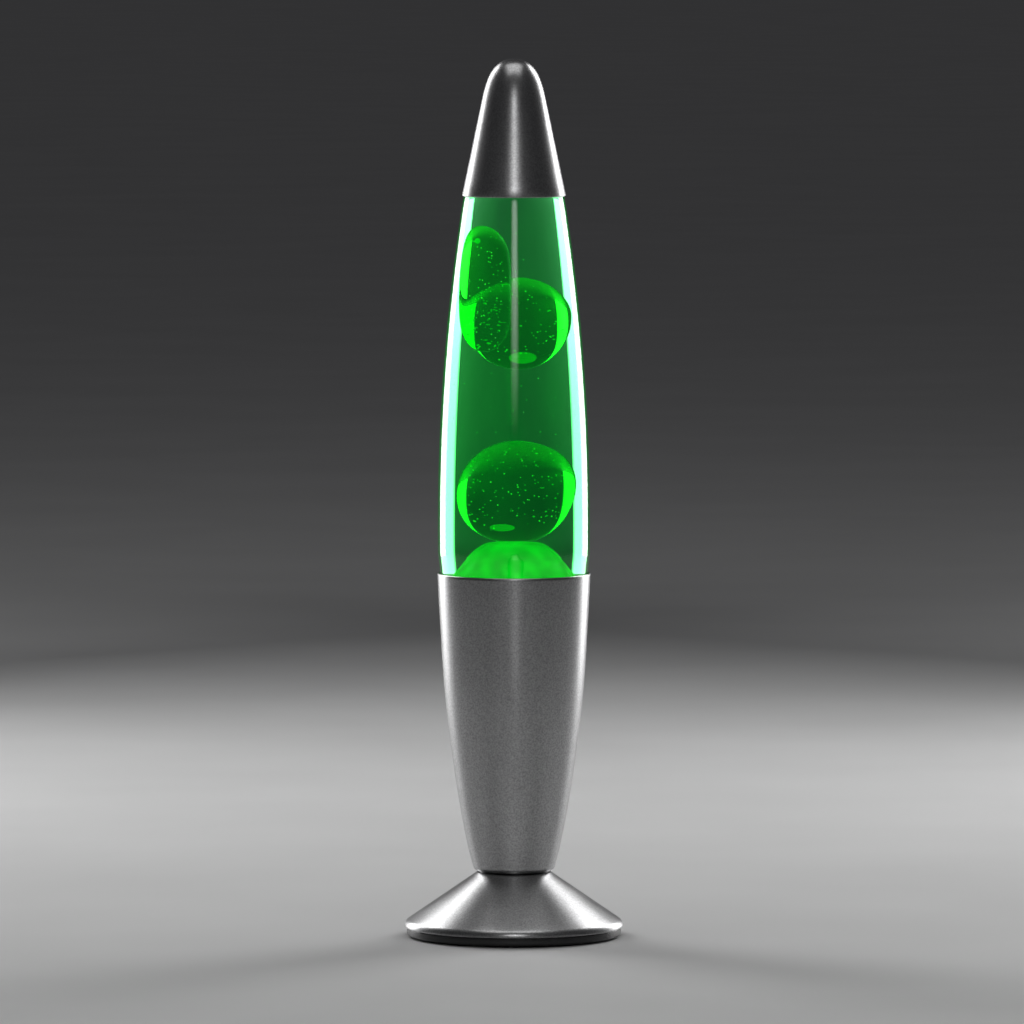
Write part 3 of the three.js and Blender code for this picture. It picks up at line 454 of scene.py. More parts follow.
def take_out(piece, cutter_bm):
    cutter_mesh = bpy.data.meshes.new("notch_cutter")
    cutter_bm.to_mesh(cutter_mesh)
    cutter_bm.free()
    cutter = bpy.data.objects.new("notch_cutter", cutter_mesh)
    bpy.context.scene.collection.objects.link(cutter)
    notch = piece.modifiers.new("notch", "BOOLEAN")
    notch.operation = "DIFFERENCE"
    notch.solver = "EXACT"
    notch.object = cutter
    graph = bpy.context.evaluated_depsgraph_get()
    piece.data = bpy.data.meshes.new_from_object(piece.evaluated_get(graph))
    piece.modifiers.clear()
    piece.data.set_sharp_from_angle(angle=SMOOTH_ANGLE)
    bpy.data.objects.remove(cutter)


def notch_shape(bottom):
    bm = bmesh.new()
    ring = bmesh.ops.create_circle(bm, cap_ends=True, segments=40, radius=NOTCH_RADIUS)["verts"]
    bmesh.ops.rotate(bm, verts=ring, matrix=Matrix.Rotation(math.pi / 2, 3, "X"))
    bmesh.ops.translate(bm, verts=ring, vec=(0, BUSH_LOW.y, BUSH_Z))
    for vert in ring:
        if vert.co.z < BUSH_Z - 0.1 * NOTCH_RADIUS:
            vert.co.x = math.copysign(NOTCH_RADIUS, vert.co.x)
            vert.co.z = bottom
    bmesh.ops.remove_doubles(bm, verts=bm.verts, dist=MERGE_DISTANCE)
    grown = bmesh.ops.extrude_face_region(bm, geom=bm.faces[:])["geom"]
    moved = [item for item in grown if isinstance(item, bmesh.types.BMVert)]
    bmesh.ops.translate(bm, verts=moved, vec=(0, 2 * (BUSH_HIGH.y - BUSH_LOW.y), 0))
    bmesh.ops.recalc_face_normals(bm, faces=bm.faces)
    return bm


foot = finish_mesh("foot_shell", spin_outline(foot_section()), "base", ["foot_cone"])
take_out(foot, notch_shape(-MM))
foot.data.materials.clear()
foot.data.materials.append(aluminium)

# %% [markdown]
# The holder is a cup that swells as it rises. A few radii, measured up its height, fix that swell, and the
# smooth line through them is turned into a wall of even thickness with a rounded rim.

# %% Holder
LIP = 1.0
HOLDER_SIDE = [(19.0, 32.9), (21.9, 44.8), (26.6, 70.7), (31.7, 109.6), (34.3, 148.4)]
FLOOR_ROUND = 3.0
FLOOR_ROUND_START = 16.1


def holder_section():
    side = smooth_line([*HOLDER_SIDE, (HOLDER_RADIUS, HOLDER_RIM - 0.4)], 10)
    floor_corner = corner((FLOOR_ROUND_START, HOLDER_FLOOR + FLOOR_ROUND), FLOOR_ROUND, -90, -15, 8)
    outside = [*floor_corner, *side]
    lip = corner((HOLDER_RADIUS - LIP / 2, HOLDER_RIM - LIP / 2), LIP / 2, 20, 160, 6)
    inside = inward(outside, SHEET)[:-1]
    floor_under, floor_over = (CLAMP_HOLE, HOLDER_FLOOR), (CLAMP_HOLE, HOLDER_FLOOR + SHEET)
    return [floor_under, *outside, *lip, *reversed(inside), floor_over]


holder = finish_mesh(
    "holder_shell", spin_outline(holder_section()), "base", ["holder_sleeve"],
)
holder.data.materials.append(aluminium)

# %% [markdown]
# The cap is a straight cone that rounds over into a blunt nose. A Bezier curve starts along the cone's own
# slope and ends level on the axis, so there is no crease where the two meet.

# %% Cap
CAP_SHEET = 0.9
CAP_ROUND = 0.45
SHOULDER = Vector((14.66, 387.3))
SHOULDER_PULL = 11.5
NOSE_PULL = 9.1
CONE_STEPS = 8


def bezier(a, b, c, d, steps):
    line = []
    for i in range(steps + 1):
        t = i / steps
        line.append(tuple((1 - t) ** 3 * a + 3 * t * (1 - t) ** 2 * b + 3 * t * t * (1 - t) * c + t ** 3 * d))
    return line


def cap_section():
    slope = (SHOULDER - Vector((CAP_RADIUS, CAP_RIM))).normalized()
    tip = Vector((0, LAMP_TOP))
    nose = bezier(SHOULDER, SHOULDER + slope * SHOULDER_PULL, Vector((NOSE_PULL, LAMP_TOP)), tip, 20)
    nose[-1] = (0, LAMP_TOP)
    rim = corner((CAP_RADIUS - CAP_ROUND, CAP_RIM + CAP_ROUND), CAP_ROUND, -90, -10, 5)
    side = [
        tuple(a + (b - a) * i / CONE_STEPS for a, b in zip(rim[-1], SHOULDER)) for i in range(1, CONE_STEPS)
    ]
    outside = [*rim, *side, *nose]
    inside = [p for p in inward(outside, CAP_SHEET)[6:] if p[0] > 0]
    inner_rim = (CAP_RADIUS - CAP_SHEET, CAP_RIM + 0.2)
    return [*outside, (0, LAMP_TOP - CAP_SHEET), *reversed(inside[:-1]), inner_rim]


cap = finish_mesh("cap_shell", spin_outline(cap_section()), "cap", ["metal_cap"])
cap.data.materials.append(aluminium)

# %% [markdown]
# ## Under the foot
# A glossy black plastic tray closes the foot from below and shows as a thin dark band under the metal. Four
# rubber pads stand under it, and a ribbed rubber bush fills the notch at the back. A thin black ring
# parts the holder from the foot.

# %% Tray, pads and seam ring
TRAY_RADIUS = radius_of("base_plate")
TRAY_BOTTOM, TRAY_TOP = bottom_of("base_plate"), top_of("base_plate")
TRAY_FLOOR = TRAY_BOTTOM + 2.5
TRAY_ROUND = 1.2
RIM_ROUND = 0.3
WALL_OUTSIDE, WALL_INSIDE = 45.4, 43.8
PADS = 4
PAD_ROUND = 0.6
SEAM_ROUND = 0.25


def tray_section():
    low_corner = corner((TRAY_RADIUS - TRAY_ROUND, TRAY_BOTTOM + TRAY_ROUND), TRAY_ROUND, -90, 0, 8)
    rim = corner((TRAY_RADIUS - RIM_ROUND, FOOT_EDGE - 0.35), RIM_ROUND, 0, 90, 4)
    wall = [
        (WALL_OUTSIDE, FOOT_EDGE - 0.05), (WALL_OUTSIDE, TRAY_TOP),
        (WALL_INSIDE, TRAY_TOP), (WALL_INSIDE, TRAY_FLOOR),
    ]
    return [(0, TRAY_BOTTOM), *low_corner, *rim, *wall, (0, TRAY_FLOOR)]


tray = finish_mesh("base_tray", spin_outline(tray_section()), "base", ["base_plate"])
take_out(tray, notch_shape(TRAY_FLOOR * MM + 0.4 * MM))
tray.data.materials.clear()
tray.data.materials.append(black_plastic)

for number in range(1, PADS + 1):
    low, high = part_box(f"rubber_foot_{number}")
    middle = (low + high) / 2
    radius, height = (high.x - low.x) / 2 / MM, high.z / MM
    side = corner((radius - PAD_ROUND, PAD_ROUND), PAD_ROUND, -90, 0, 6)
    hollow = [(0, 0.35), (radius - 2.2, 0.35), (radius - 1.8, 0)]
    pad_bm = spin_outline([*hollow, *side, (radius, height), (0, height)], 48)
    bmesh.ops.translate(pad_bm, verts=pad_bm.verts, vec=(middle.x, middle.y, 0))
    pad = finish_mesh(f"rubber_pad_{number}", pad_bm, "base", [f"rubber_foot_{number}"])
    pad.data.materials.append(black_rubber)

seam_radius, seam_low, seam_high = radius_of("seam_spacer"), bottom_of("seam_spacer"), top_of("seam_spacer")
seam_edge = corner((seam_radius - SEAM_ROUND, (seam_low + seam_high) / 2), SEAM_ROUND, -80, 80, 6)
seam_bm = spin_outline([(CLAMP_HOLE, seam_low), *seam_edge, (CLAMP_HOLE, seam_high)])
seam = finish_mesh("seam_ring", seam_bm, "base", ["seam_spacer"])
seam.data.materials.append(black_plastic)

# %% [markdown]
# The bush is a rubber tube with a flange that holds it in the notch, and ribs that let it bend with the
# cord. It is spun upright like the rest and then laid on its side, so its ribs stay true rings.

# %% Cord bush
BUSH_BORE = 3.4
BARREL_RADIUS = 5.2
RIBS = 4
RIB_PITCH = 2.0
RIB_DEPTH = 0.7
RIBS_LENGTH = 8.4
END_ROUND = 0.8
MOUTH_ROUND = 0.5


def bush_section():
    length = (BUSH_HIGH.y - BUSH_LOW.y) / MM
    flange, barrel = (BUSH_HIGH.x - BUSH_LOW.x) / 2 / MM, BARREL_RADIUS
    waist = barrel - RIB_DEPTH
    ribs = []
    for i in range(RIBS):
        start = length - RIBS_LENGTH + RIB_PITCH * i
        ribs += [(barrel, start), (barrel, start + 0.9), (waist, start + 1.1), (waist, start + 1.8)]
    end = corner((barrel - END_ROUND, length - END_ROUND), END_ROUND, 0, 90, 5)
    mouth = corner((BUSH_BORE + MOUTH_ROUND, length - MOUTH_ROUND), MOUTH_ROUND, 90, 180, 4)
    back = [(BUSH_BORE, 0), (flange - 0.3, 0), (flange, 0.3), (flange, 1.5), (barrel, 1.6)]
    return [*back, *ribs[:-2], *end, *mouth]


bush_bm = spin_outline(bush_section(), 64)
bmesh.ops.rotate(bush_bm, verts=bush_bm.verts, matrix=Matrix.Rotation(-math.pi / 2, 3, "X"))
bmesh.ops.translate(bush_bm, verts=bush_bm.verts, vec=(0, BUSH_LOW.y, BUSH_Z))
bush = finish_mesh("cord_bush", bush_bm, "base", ["cord_gland"])
bush.data.materials.append(black_rubber)

# %% [markdown]
# ## The bottle and its liquid
# The bottle's side is one long arc, so its radius follows a circle far larger than the lamp. The liquid's
# skin lies a hair inside the glass wall, rather than on it or behind an air gap, so that light goes
# straight from glass to liquid as it does in a real bottle.

# %% Bottle
GLASS_WIDEST_Z = 190.8
GLASS_ARC = 970
GLASS_WALL = 2.5
GLASS_FLOOR = 4.2
NECK_BORE = 9.2
HEEL = 5
LIQUID_TOP = top_of("lamp_liquid")


def glass_radius(z):
    return BOTTLE_RADIUS - GLASS_ARC + math.sqrt(GLASS_ARC ** 2 - (z - GLASS_WIDEST_Z) ** 2)


def bottle_side():
    heel = corner((26.6, BOTTLE_BOTTOM + HEEL), HEEL, -90, 0, 8)
    tail = smooth_line([(31.6, 137.5), (32.4, 150), (34.0, HOLDER_RIM - 0.8), (glass_radius(178), 178)], 6)
    low, high, steps = 182, 341.0, 36
    levels = [low + (high - low) * i / steps for i in range(steps + 1)]
    shoulder = smooth_line([(23.1, 342.6), (20.6, 348.5), (17.2, 355), (13.4, 361), (12.4, 366)], 5)
    return [*heel, *tail[1:], *[(glass_radius(z), z) for z in levels], *shoulder]


def bottle_section():
    outside = bottle_side()
    inside = [
        (max(r, NECK_BORE), z) for r, z in inward(outside, GLASS_WALL) if BOTTLE_BOTTOM + 3.2 < z < 365
    ]
    bead = [(13.3, 367.6), (13.3, NECK_TOP - 1), (12.9, NECK_TOP - 0.3), (12.4, NECK_TOP)]
    mouth = [(NECK_BORE + 0.4, NECK_TOP), (NECK_BORE, NECK_TOP - 0.6)]
    push_up = [(0, BOTTLE_BOTTOM + 1.4), (16, BOTTLE_BOTTOM + 1.0), (22, BOTTLE_BOTTOM)]
    floor_line = [(22, BOTTLE_BOTTOM + 3.2), (0, BOTTLE_BOTTOM + GLASS_FLOOR)]
    return [*push_up, *outside, *bead, *mouth, *reversed(inside), *floor_line]


bottle = finish_mesh("bottle", spin_outline(bottle_section()), "bottle", ["glass_bottle"])
bottle.data.materials.append(glass)
bottle.data.materials.append(wet_glass)
wetted = [
    face for face in bottle.data.polygons
    if BOTTLE_BOTTOM + 3 < face.center.z / MM < LIQUID_TOP
    and (face.normal.xy.dot(face.center.xy) < 0 or face.normal.z > 0.7)
]
for face in wetted:
    face.material_index = 1
print("wetted faces", len(wetted))

# %% [markdown]
# The liquid is made from the bottle's own side, moved inward by the wall, so the two can't part. Its top
# turns up a little where it meets the glass, and that open surface bends light as a liquid does.

# %% Liquid
LIQUID_OVERLAP = 0.12


def liquid_section():
    skin = inward(bottle_side(), GLASS_WALL - LIQUID_OVERLAP)
    side = [(r, z) for r, z in skin if BOTTLE_BOTTOM + 4 < z < LIQUID_TOP - 0.6]
    rim_radius = side[-1][0]
    meniscus = [(rim_radius - 0.2, LIQUID_TOP), (rim_radius - 1.6, LIQUID_TOP - 0.6), (0, LIQUID_TOP - 0.7)]
    return [(0, BOTTLE_BOTTOM + GLASS_FLOOR + 0.1), (22, BOTTLE_BOTTOM + 3.5), *side, *meniscus]


liquid_body = finish_mesh("liquid", spin_outline(liquid_section()), "bottle", ["lamp_liquid"])
liquid_body.data.materials.append(liquid)
liquid_body.data.materials.append(liquid_surface)
for face in liquid_body.data.polygons:
    if face.normal.z > 0.5 and face.center.z / MM > LIQUID_TOP - 1:
        face.material_index = 1

# %% [markdown]
# ## The crown closure
# The bottle is shut like a drinks bottle, by a steel crown crimped over the neck's bead. A crown has
# twenty-one flutes. It is spun smooth first, and then every vertex is moved in or out by a wave that runs
# twenty-one times round and fades away towards the flat top.

# %% Crown
FLUTES = 21
FLUTE_DEPTH = 0.55


def make_crown():
    top, bottom, radius = top_of("crown_closure"), bottom_of("crown_closure"), radius_of("crown_closure")
    sheet, bead = 0.5, 13.4
    rim = radius - FLUTE_DEPTH
    shoulder = corner((bead - 1.4, top - 1.6), 1.6, 20, 90, 8)
    outside = [(rim, bottom), (rim - 0.5, bottom + 1.5), (rim - 1.1, bottom + 3.2), *shoulder, (0, top)]
    inside = [
        (0, top - sheet), (bead - 1.6, top - sheet), (bead + 0.1, bottom + 3.4), (rim - sheet, bottom + 0.1),
    ]
    bm = spin_outline([*outside, *inside], FLUTES * 8)
    for vert in bm.verts:
        depth = min(max((top - vert.co.z / MM - 1.2) / (top - bottom - 1.2), 0), 1)
        wave = FLUTE_DEPTH * depth * math.cos(FLUTES * math.atan2(vert.co.y, vert.co.x)) * MM
        vert.co += Vector((vert.co.x, vert.co.y, 0)).normalized() * wave
    crown = finish_mesh("crown", bm, "bottle", ["crown_closure"])
    crown.data.materials.append(steel)


make_crown()

# %% [markdown]
# ## The wax
# Most of the wax lies in a pool on the bottle's floor, which swells into a soft mound over the bulb. It is
# spun like the metal, from one smooth line, with a step at its foot that leaves room for the wire coil.

# %% Wax pool
MOUND_TOP = 183.9
MOUND_SIDE = [(29.9, 150), (27.0, 160), (20.9, 168.4), (16.2, 176.4), (12.2, 181), (8.4, 183.5)]
MOUND_FOOT = [(0, 136.6), (20.0, 136.6), (20.0, 144.0), (29.9, 144.0)]


def make_pool():
    dome = smooth_line([*MOUND_SIDE, (0.001, MOUND_TOP)], 8)
    dome[-1] = (0, MOUND_TOP)
    bm = spin_outline([*MOUND_FOOT, *dome])
    piece = finish_mesh("wax_mound", bm, "bottle", ["wax_pool"])
    piece.data.materials.append(mound_wax_painted_glow)


make_pool()

# %% [markdown]
# Warm wax has no edges. Each blob starts as a sphere, is stretched to its own width, depth and height, and
# is then pushed about by a slow noise, so that no two are alike. `fullness` makes a blob's ends blunter:
# 2 is an ellipsoid, and more than that is nearer to a rounded post. The lowest blob has just let go of the
# pool, so its underside is still flat.

# %% Wax blobs
LARGEST_SWELL = 1.25
NOISE_SCALE = 1.1
SEED_STEP = 2.7


def blob(name, node, body, fullness=2.0, lean=0.0, foot=1.0, wobble=0.6, seed=0):
    low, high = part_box(node)
    middle, half = (low + high) / 2, (high - low) / 2
    bm = bmesh.new()
    bmesh.ops.create_uvsphere(bm, u_segments=80, v_segments=56, radius=1)
    for vert in bm.verts:
        x, y, z = vert.co
        round_one = math.sqrt(max(1 - z * z, 1e-9))
        full_one = math.sqrt(max(1 - abs(z) ** fullness, 1e-9))
        swell = min(full_one / round_one, LARGEST_SWELL)
        place = vert.co * NOISE_SCALE + Vector((seed, SEED_STEP * seed, 0))
        drift = 1 + noise.noise(place) * wobble * MM / half.x
        shape = Vector((x * swell * half.x, y * swell * half.y, max(z / foot, -1) * half.z)) * drift
        vert.co = middle + shape + Vector((0, 0, lean * x * half.z * round_one))
    piece = finish_mesh(name, bm, body, [node])
    piece.data.materials.append(blob_wax_painted_glow)


blob("blob_lower", "wax_blob_lower", "wax_lower", lean=0.1, foot=0.95, wobble=0.4, seed=1)
blob("blob_middle", "wax_blob_middle", "wax_middle", fullness=2.2, lean=0.06, seed=4)
blob("blob_side", "wax_blob_side", "wax_side", fullness=3.2, seed=7)
blob("blob_top", "wax_blob_top", "wax_top", seed=9)

# %% [markdown]
# ## Bubbles and specks
# Old wax is full of tiny bubbles, and drops of liquid get trapped in it. The specks are small icospheres
# scattered by a seeded random generator just under the skin of each blob, so they come out the same every
# time. They are bright by a painted glow of their own. The few in the liquid ride on the bottle, and the
# others ride on their own blob.

# %% Specks


def specks(name, node, body, count, seed, depth=(0.6, 0.95), sizes=(0.15, 0.36)):
    draw = random.Random(seed)
    low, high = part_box(node)
    middle, half = (low + high) / 2, (high - low) / 2
    bm = bmesh.new()
    for _ in range(count):
        z, turn = draw.uniform(-0.9, 0.95), draw.uniform(0, 2 * math.pi)
        share, size = draw.uniform(*depth), draw.uniform(*sizes) * MM
        flat = math.sqrt(1 - z * z)
        way = Vector((flat * math.cos(turn) * half.x, flat * math.sin(turn) * half.y, z * half.z))
        place = Matrix.Translation(middle + way * share)
        bmesh.ops.create_icosphere(bm, subdivisions=1, radius=size, matrix=place)
    piece = finish_mesh(name, bm, body)
    piece.data.materials.append(speck_painted_glow)


specks("specks_lower", "wax_blob_lower", "wax_lower", 150, 11)
specks("specks_middle", "wax_blob_middle", "wax_middle", 110, 12)
specks("specks_side", "wax_blob_side", "wax_side", 90, 13)
specks("specks_liquid", "lamp_liquid", "bottle", 60, 14, depth=(0.5, 0.72), sizes=(0.12, 0.22))

# %% [markdown]
# A few larger drops of liquid are trapped inside the blobs, where a painted glow shows them as pale ovals.
# Each is a flattened sphere, placed by its share of the blob's own width, depth and height.

# %% Trapped drops


def drop(name, body, node, place, size):
    low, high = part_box(node)
    middle, half = (low + high) / 2, (high - low) / 2
    centre = middle + Vector((a * b for a, b in zip(place, half)))
    bm = bmesh.new()
    bmesh.ops.create_uvsphere(bm, u_segments=40, v_segments=24, radius=MM)
    bmesh.ops.scale(bm, verts=bm.verts, vec=size)
    bmesh.ops.translate(bm, verts=bm.verts, vec=centre)
    piece = finish_mesh(name, bm, body)
    piece.data.materials.append(droplet_wax_painted_glow)


drop("drop_middle", "wax_middle", "wax_blob_middle", (0.1, -0.25, -0.74), (4.2, 3.4, 2.6))
drop("drop_side", "wax_side", "wax_blob_side", (-0.3, -0.35, 0.76), (1.3, 1.3, 1.3))
drop("drop_lower", "wax_lower", "wax_blob_lower", (-0.25, -0.45, -0.7), (4.6, 2.6, 1.6))

# %% [markdown]
# ## What the bottle hides
# Lifting the bottle out shows the bulb in its lampholder, and a ring of coiled wire through the bottle's
# floor. The bulb is a small reflector: its lower half is silvered and its face is frosted, so one material
# changes from mirror to frosted glass with height.

# %% Bulb
BULB_TOP, BULB_BOTTOM, BULB_RADIUS = top_of("bulb_glass"), bottom_of("bulb_glass"), radius_of("bulb_glass")
BULB_WALL = 0.9
BULB_LIGHT = 2.5
SILVER_TOP = (BULB_TOP - 14) * MM
SILVER_EDGE = 0.0006
LIGHT_FADE = 0.006


def bulb_finish():
    material, shader = new_finish("bulb_finish", IOR=1.5)
    nodes, links = material.node_tree.nodes, material.node_tree.links
    split = nodes.new("ShaderNodeSeparateXYZ")
    links.new(nodes.new("ShaderNodeTexCoord").outputs["Object"], split.inputs["Vector"])
    height = split.outputs["Z"]
    low, high = SILVER_TOP - SILVER_EDGE, SILVER_TOP + SILVER_EDGE
    frost = pattern(material, 900, detail=2.0)
    wire(material, spread(material, height, 1, 0, low, high), shader, "Metallic")
    wire(material, spread(material, height, 0.12, 0.5, low, high), shader, "Roughness")
    tones = ramp(material, frost, [(0.3, (0.82, 0.82, 0.8)), (0.7, (0.95, 0.94, 0.9))])
    wire(material, tones, shader, "Base Color")
    light = spread(material, height, 0, BULB_LIGHT, SILVER_TOP, SILVER_TOP + LIGHT_FADE)
    wire(material, light, shader, "Emission Strength")
    shader.inputs["Emission Color"].default_value = (1.0, 0.78, 0.5, 1)
    return material


def bulb_section():
    rise = BULB_TOP - BULB_BOTTOM
    neck = 4.95
    swell = [(neck, 43), (7.4, 38), (12.2, 30), (17.6, 22)]
    shoulder = [(BULB_RADIUS - 0.05, 14), (BULB_RADIUS - 0.9, 9), (BULB_RADIUS - 3.8, 5)]
    side = smooth_line([(radius, BULB_TOP - drop_z) for radius, drop_z in [*swell, *shoulder]], 6)
    a, b, c = Vector(side[-1]), Vector((10.5, BULB_TOP)), Vector((0, BULB_TOP))
    face = [tuple((1 - t) ** 2 * a + 2 * t * (1 - t) * b + t * t * c) for t in (i / 10 for i in range(1, 11))]
    face[-1] = (0, BULB_TOP)
    outside = [(neck, BULB_TOP - rise), *side, *face]
    inside = inward(outside, BULB_WALL)[1:-1]
    return [*outside, (0, BULB_TOP - BULB_WALL), *reversed(inside), (neck - BULB_WALL, BULB_TOP - rise)]


bulb_piece = finish_mesh(
    "bulb_envelope", spin_outline(bulb_section(), 96), "bulb", ["bulb_glass"],
)
bulb_piece.data.materials.append(bulb_finish())

# %% [markdown]
# The lampholder's skirt is a moulded sleeve with grooves for the fingers that screw it on. The grooves are
# drawn in its outline, which keeps them clean rings and costs no Boolean.

# %% Lampholder skirt
SKIRT_RADIUS = radius_of("socket_skirt")
SKIRT_TOP, SKIRT_BOTTOM = top_of("socket_skirt"), bottom_of("socket_skirt")
SKIRT_WALL = 1.5
GROOVES = 5
GROOVE_PITCH = 2.2
GROOVE_DEPTH = 0.4
skirt_lip = corner((SKIRT_RADIUS - SKIRT_WALL / 2, SKIRT_TOP - SKIRT_WALL / 2), SKIRT_WALL / 2, 0, 180, 10)
skirt_grooves = []
for i in range(GROOVES):
    groove_z = SKIRT_BOTTOM + 3 + GROOVE_PITCH * i
    skirt_grooves += [
        (SKIRT_RADIUS, groove_z), (SKIRT_RADIUS - GROOVE_DEPTH, groove_z + GROOVE_DEPTH),
        (SKIRT_RADIUS, groove_z + 2 * GROOVE_DEPTH),
    ]
skirt_foot = [(SKIRT_RADIUS - SKIRT_WALL, SKIRT_BOTTOM), (SKIRT_RADIUS, SKIRT_BOTTOM)]
skirt_bm = spin_outline([*skirt_foot, *skirt_grooves, *skirt_lip], 96)
skirt = finish_mesh("lampholder_skirt", skirt_bm, "base", ["socket_skirt"])
skirt.data.materials.append(black_plastic)

# %% [markdown]
# The coil is a long spring bent into a ring in the bottle's floor, which helps the wax to gather again. A
# curve carries the wire: each point goes once round the ring while it turns many times round the wire's
# own path. The curve is made a mesh, so that it rides and exports like the other pieces.

# %% Wire coil
COIL_RING, COIL_RADIUS, COIL_WIRE, COIL_TURNS = 24.4, 3.0, 0.45, 16
PER_TURN = 20


def make_coil():
    low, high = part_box("wire_coil")
    middle_z = (low.z + high.z) / 2
    curve = bpy.data.curves.new("coil_path", "CURVE")
    curve.dimensions = "3D"
    curve.bevel_depth = COIL_WIRE * MM
    curve.bevel_resolution = 2
    line = curve.splines.new("POLY")
    count = COIL_TURNS * PER_TURN
    line.points.add(count - 1)
    line.use_cyclic_u = True
    for i, point in enumerate(line.points):
        around, twist = 2 * math.pi * i / count, 2 * math.pi * i / PER_TURN
        r = (COIL_RING + COIL_RADIUS * math.cos(twist)) * MM
        z = middle_z + COIL_RADIUS * MM * math.sin(twist)
        point.co = (r * math.cos(around), r * math.sin(around), z, 1)
    path = bpy.data.objects.new("coil_path", curve)
    bpy.context.scene.collection.objects.link(path)
    graph = bpy.context.evaluated_depsgraph_get()
    bm = bmesh.new()
    bm.from_mesh(path.evaluated_get(graph).to_mesh())
    bpy.data.objects.remove(path)
    piece = finish_mesh("coil", bm, "bottle", ["wire_coil"])
    piece.data.materials.append(steel)


make_coil()

# %% [markdown]
# ## Finishes of the hidden pieces
# The wiring, the clamp and the lampholder's insides keep the solid model's own shapes. They get the finish
# of their material, by the slot that the record names for each.

# %% Finishes by slot
BY_SLOT = {
    "spun_aluminium": aluminium,
    "black_plastic": black_plastic,
    "white_plastic": white_plastic,
    "black_rubber": black_rubber,
    "plated_steel": steel,
    "porcelain": porcelain,
    "brass": brass,
    "brown_wire": brown_wire,
    "blue_wire": blue_wire,
    "green_wire": green_wire,
    "clear_glass": glass,
    "green_liquid": liquid,
    "green_wax": mound_wax_painted_glow,
}
slot_of = {part["node"]: part["material_slot"] for part in frame["record"]["subparts"]}
for node, obj in frame["nodes"].items():
    obj.data.materials.clear()
    obj.data.materials.append(BY_SLOT[slot_of[node]])
print("finishes given to", len(slot_of), "frame pieces")

# %% [markdown]
# ## Floor, light and camera
# The floor is one large pale sheet that runs back until it fades. A very slow cloud in its tone keeps it from
# looking like flat paint.

# %% Floor
FLOOR_SIZE = 60
floor_material, floor_shader = new_finish("pale_floor", Roughness=0.55)
floor_tone = pattern(floor_material, 6, detail=2.0)
wire(
    floor_material, ramp(floor_material, floor_tone, [(0.3, (0.6, 0.6, 0.6)), (0.7, (0.64, 0.64, 0.64))]),
    floor_shader, "Base Color",
)
floor_bm = bmesh.new()
bmesh.ops.create_grid(floor_bm, x_segments=1, y_segments=1, size=FLOOR_SIZE)
floor_mesh = bpy.data.meshes.new("floor")
floor_bm.to_mesh(floor_mesh)
floor_bm.free()
floor = bpy.data.objects.new("floor", floor_mesh)
floor.data.materials.append(floor_material)
bpy.context.scene.collection.objects.link(floor)

# %% [markdown]
# Soft boxes stand round the lamp: a tall one at each side and a little behind, which draw the bright edges
# of the metal and the glass, a slim one in front for the line down the middle, and a wide one overhead for
# the foot and the floor. A low card in front shows in the metal only. An area light could do this, but its
# reflection has hard edges. These are glowing sheets that fade towards their edges.

# %% Soft boxes
SIDE_FADE = ((0.36, 0.5), (0.4, 0.5))
SLIM_FADE = ((0.05, 0.5), (0.1, 0.5))


def fading_light(name, strength, fade):
    material = bpy.data.materials.new(name)
    material.use_nodes = True
    nodes, links = material.node_tree.nodes, material.node_tree.links
    nodes.remove(nodes["Principled BSDF"])
    split = nodes.new("ShaderNodeSeparateXYZ")
    links.new(nodes.new("ShaderNodeTexCoord").outputs["Object"], split.inputs["Vector"])
    level = None
    for axis, (low, high) in zip("XY", fade):
        size = nodes.new("ShaderNodeMath")
        size.operation = "ABSOLUTE"
        links.new(split.outputs[axis], size.inputs[0])
        fall = nodes.new("ShaderNodeMapRange")
        fall.interpolation_type = "SMOOTHSTEP"
        for socket, value in zip(MAP_SOCKETS, (low, high, 1, 0)):
            fall.inputs[socket].default_value = value
        links.new(size.outputs["Value"], fall.inputs["Value"])
        product = nodes.new("ShaderNodeMath")
        product.operation = "MULTIPLY"
        links.new(fall.outputs["Result"], product.inputs[0])
        product.inputs[1].default_value = strength
        if level is not None:
            links.new(level, product.inputs[1])
        level = product.outputs["Value"]
    emission = nodes.new("ShaderNodeEmission")
    links.new(level, emission.inputs["Strength"])
    links.new(emission.outputs["Emission"], nodes["Material Output"].inputs["Surface"])
    return material


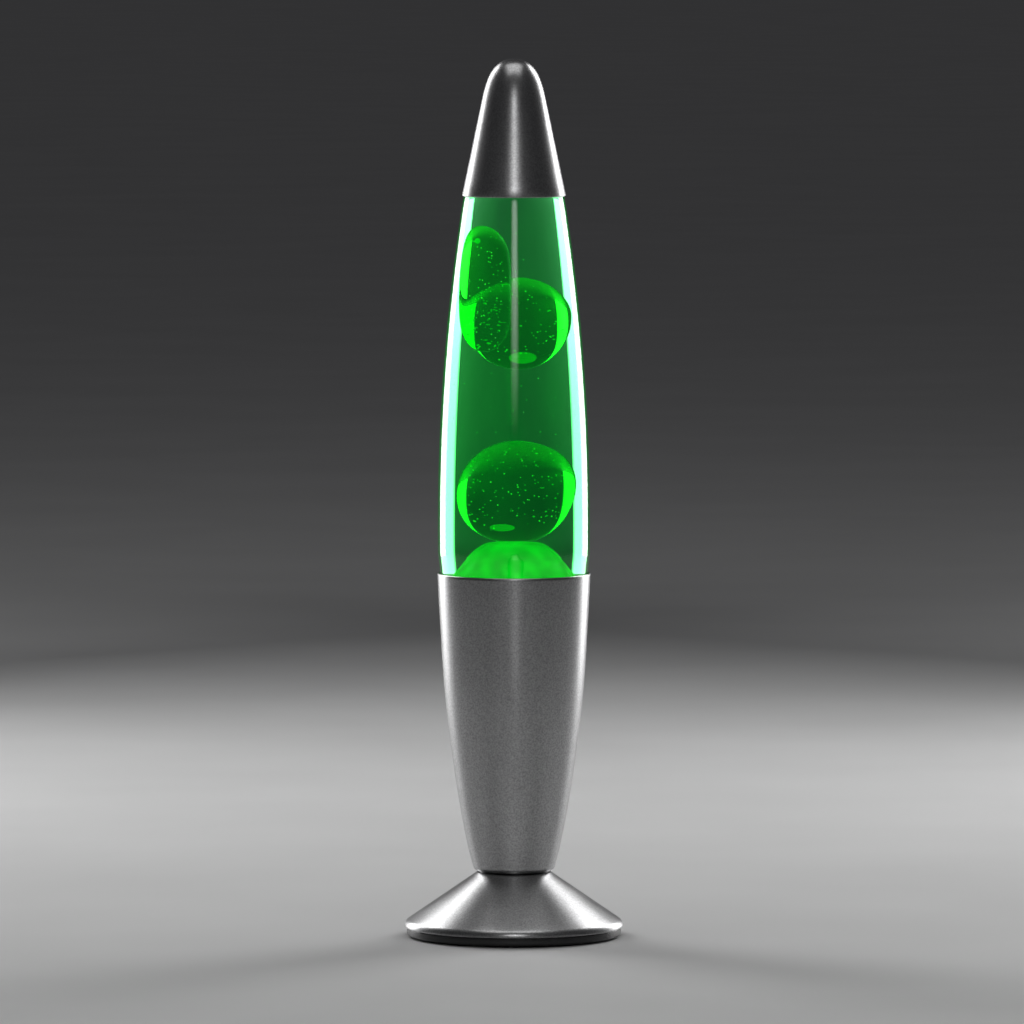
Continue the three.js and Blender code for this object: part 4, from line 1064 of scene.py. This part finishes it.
def softbox(name, place, aim, width, height, strength, fade=((0.3, 0.5), (0.3, 0.5))):
    bm = bmesh.new()
    bmesh.ops.create_grid(bm, x_segments=1, y_segments=1, size=0.5)
    mesh = bpy.data.meshes.new(name)
    bm.to_mesh(mesh)
    bm.free()
    mesh.materials.append(fading_light(name, strength, fade))
    box = bpy.data.objects.new(name, mesh)
    box.location = place
    box.rotation_euler = (Vector(aim) - Vector(place)).to_track_quat("-Z", "Y").to_euler()
    box.scale = (width, height, 1)
    box.visible_camera = False
    bpy.context.scene.collection.objects.link(box)
    return box


for side_name, side in (("left", -1), ("right", 1)):
    softbox(f"{side_name}_strip", (side * 0.81, 0.885, 0.52), (0, 0, 0.3), 0.6, 1.5, 5.5, SIDE_FADE)
softbox("front_strip", (0.03, -1.3, 0.66), (0, 0, 0.3), 0.4, 0.85, 5.0, SLIM_FADE)
# The low card neither lights nor shades the floor under it
low_card = softbox("low_card", (0.03, -0.85, 0.004), (0.03, -0.85, 1), 0.24, 0.8, 1.6, SLIM_FADE)
low_card.visible_diffuse = False
low_card.visible_shadow = False
softbox("overhead", (0, -0.2, 1.9), (0, 0, 0.1), 1.8, 1.8, 1.2)

world = bpy.data.worlds.new("studio")
world.use_nodes = True
world.node_tree.nodes["Background"].inputs["Color"].default_value = (0.045, 0.045, 0.047, 1)
bpy.context.scene.world = world
print("floor and soft boxes ready")

# %% [markdown]
# A long lens from some way off, a few degrees above the table, gives the straight-on look of a catalogue
# picture, with only a sliver of the foot's top and rim in view.

# %% Camera
LENS = 350.3
CAMERA_TARGET = Vector((-0.0009, 0, 0.1969))
ELEVATION = math.radians(4.1)
DISTANCE = 4.6
camera_data = bpy.data.cameras.new("camera")
camera_data.sensor_width = 36
camera_data.lens = LENS
camera = bpy.data.objects.new("camera", camera_data)
camera.location = CAMERA_TARGET + DISTANCE * Vector((0, -math.cos(ELEVATION), math.sin(ELEVATION)))
camera.rotation_euler = (CAMERA_TARGET - camera.location).to_track_quat("-Z", "Y").to_euler()
bpy.context.scene.collection.objects.link(camera)
bpy.context.scene.camera = camera
bpy.context.scene.view_settings.view_transform = "Standard"
print("camera at", [round(v, 3) for v in camera.location])
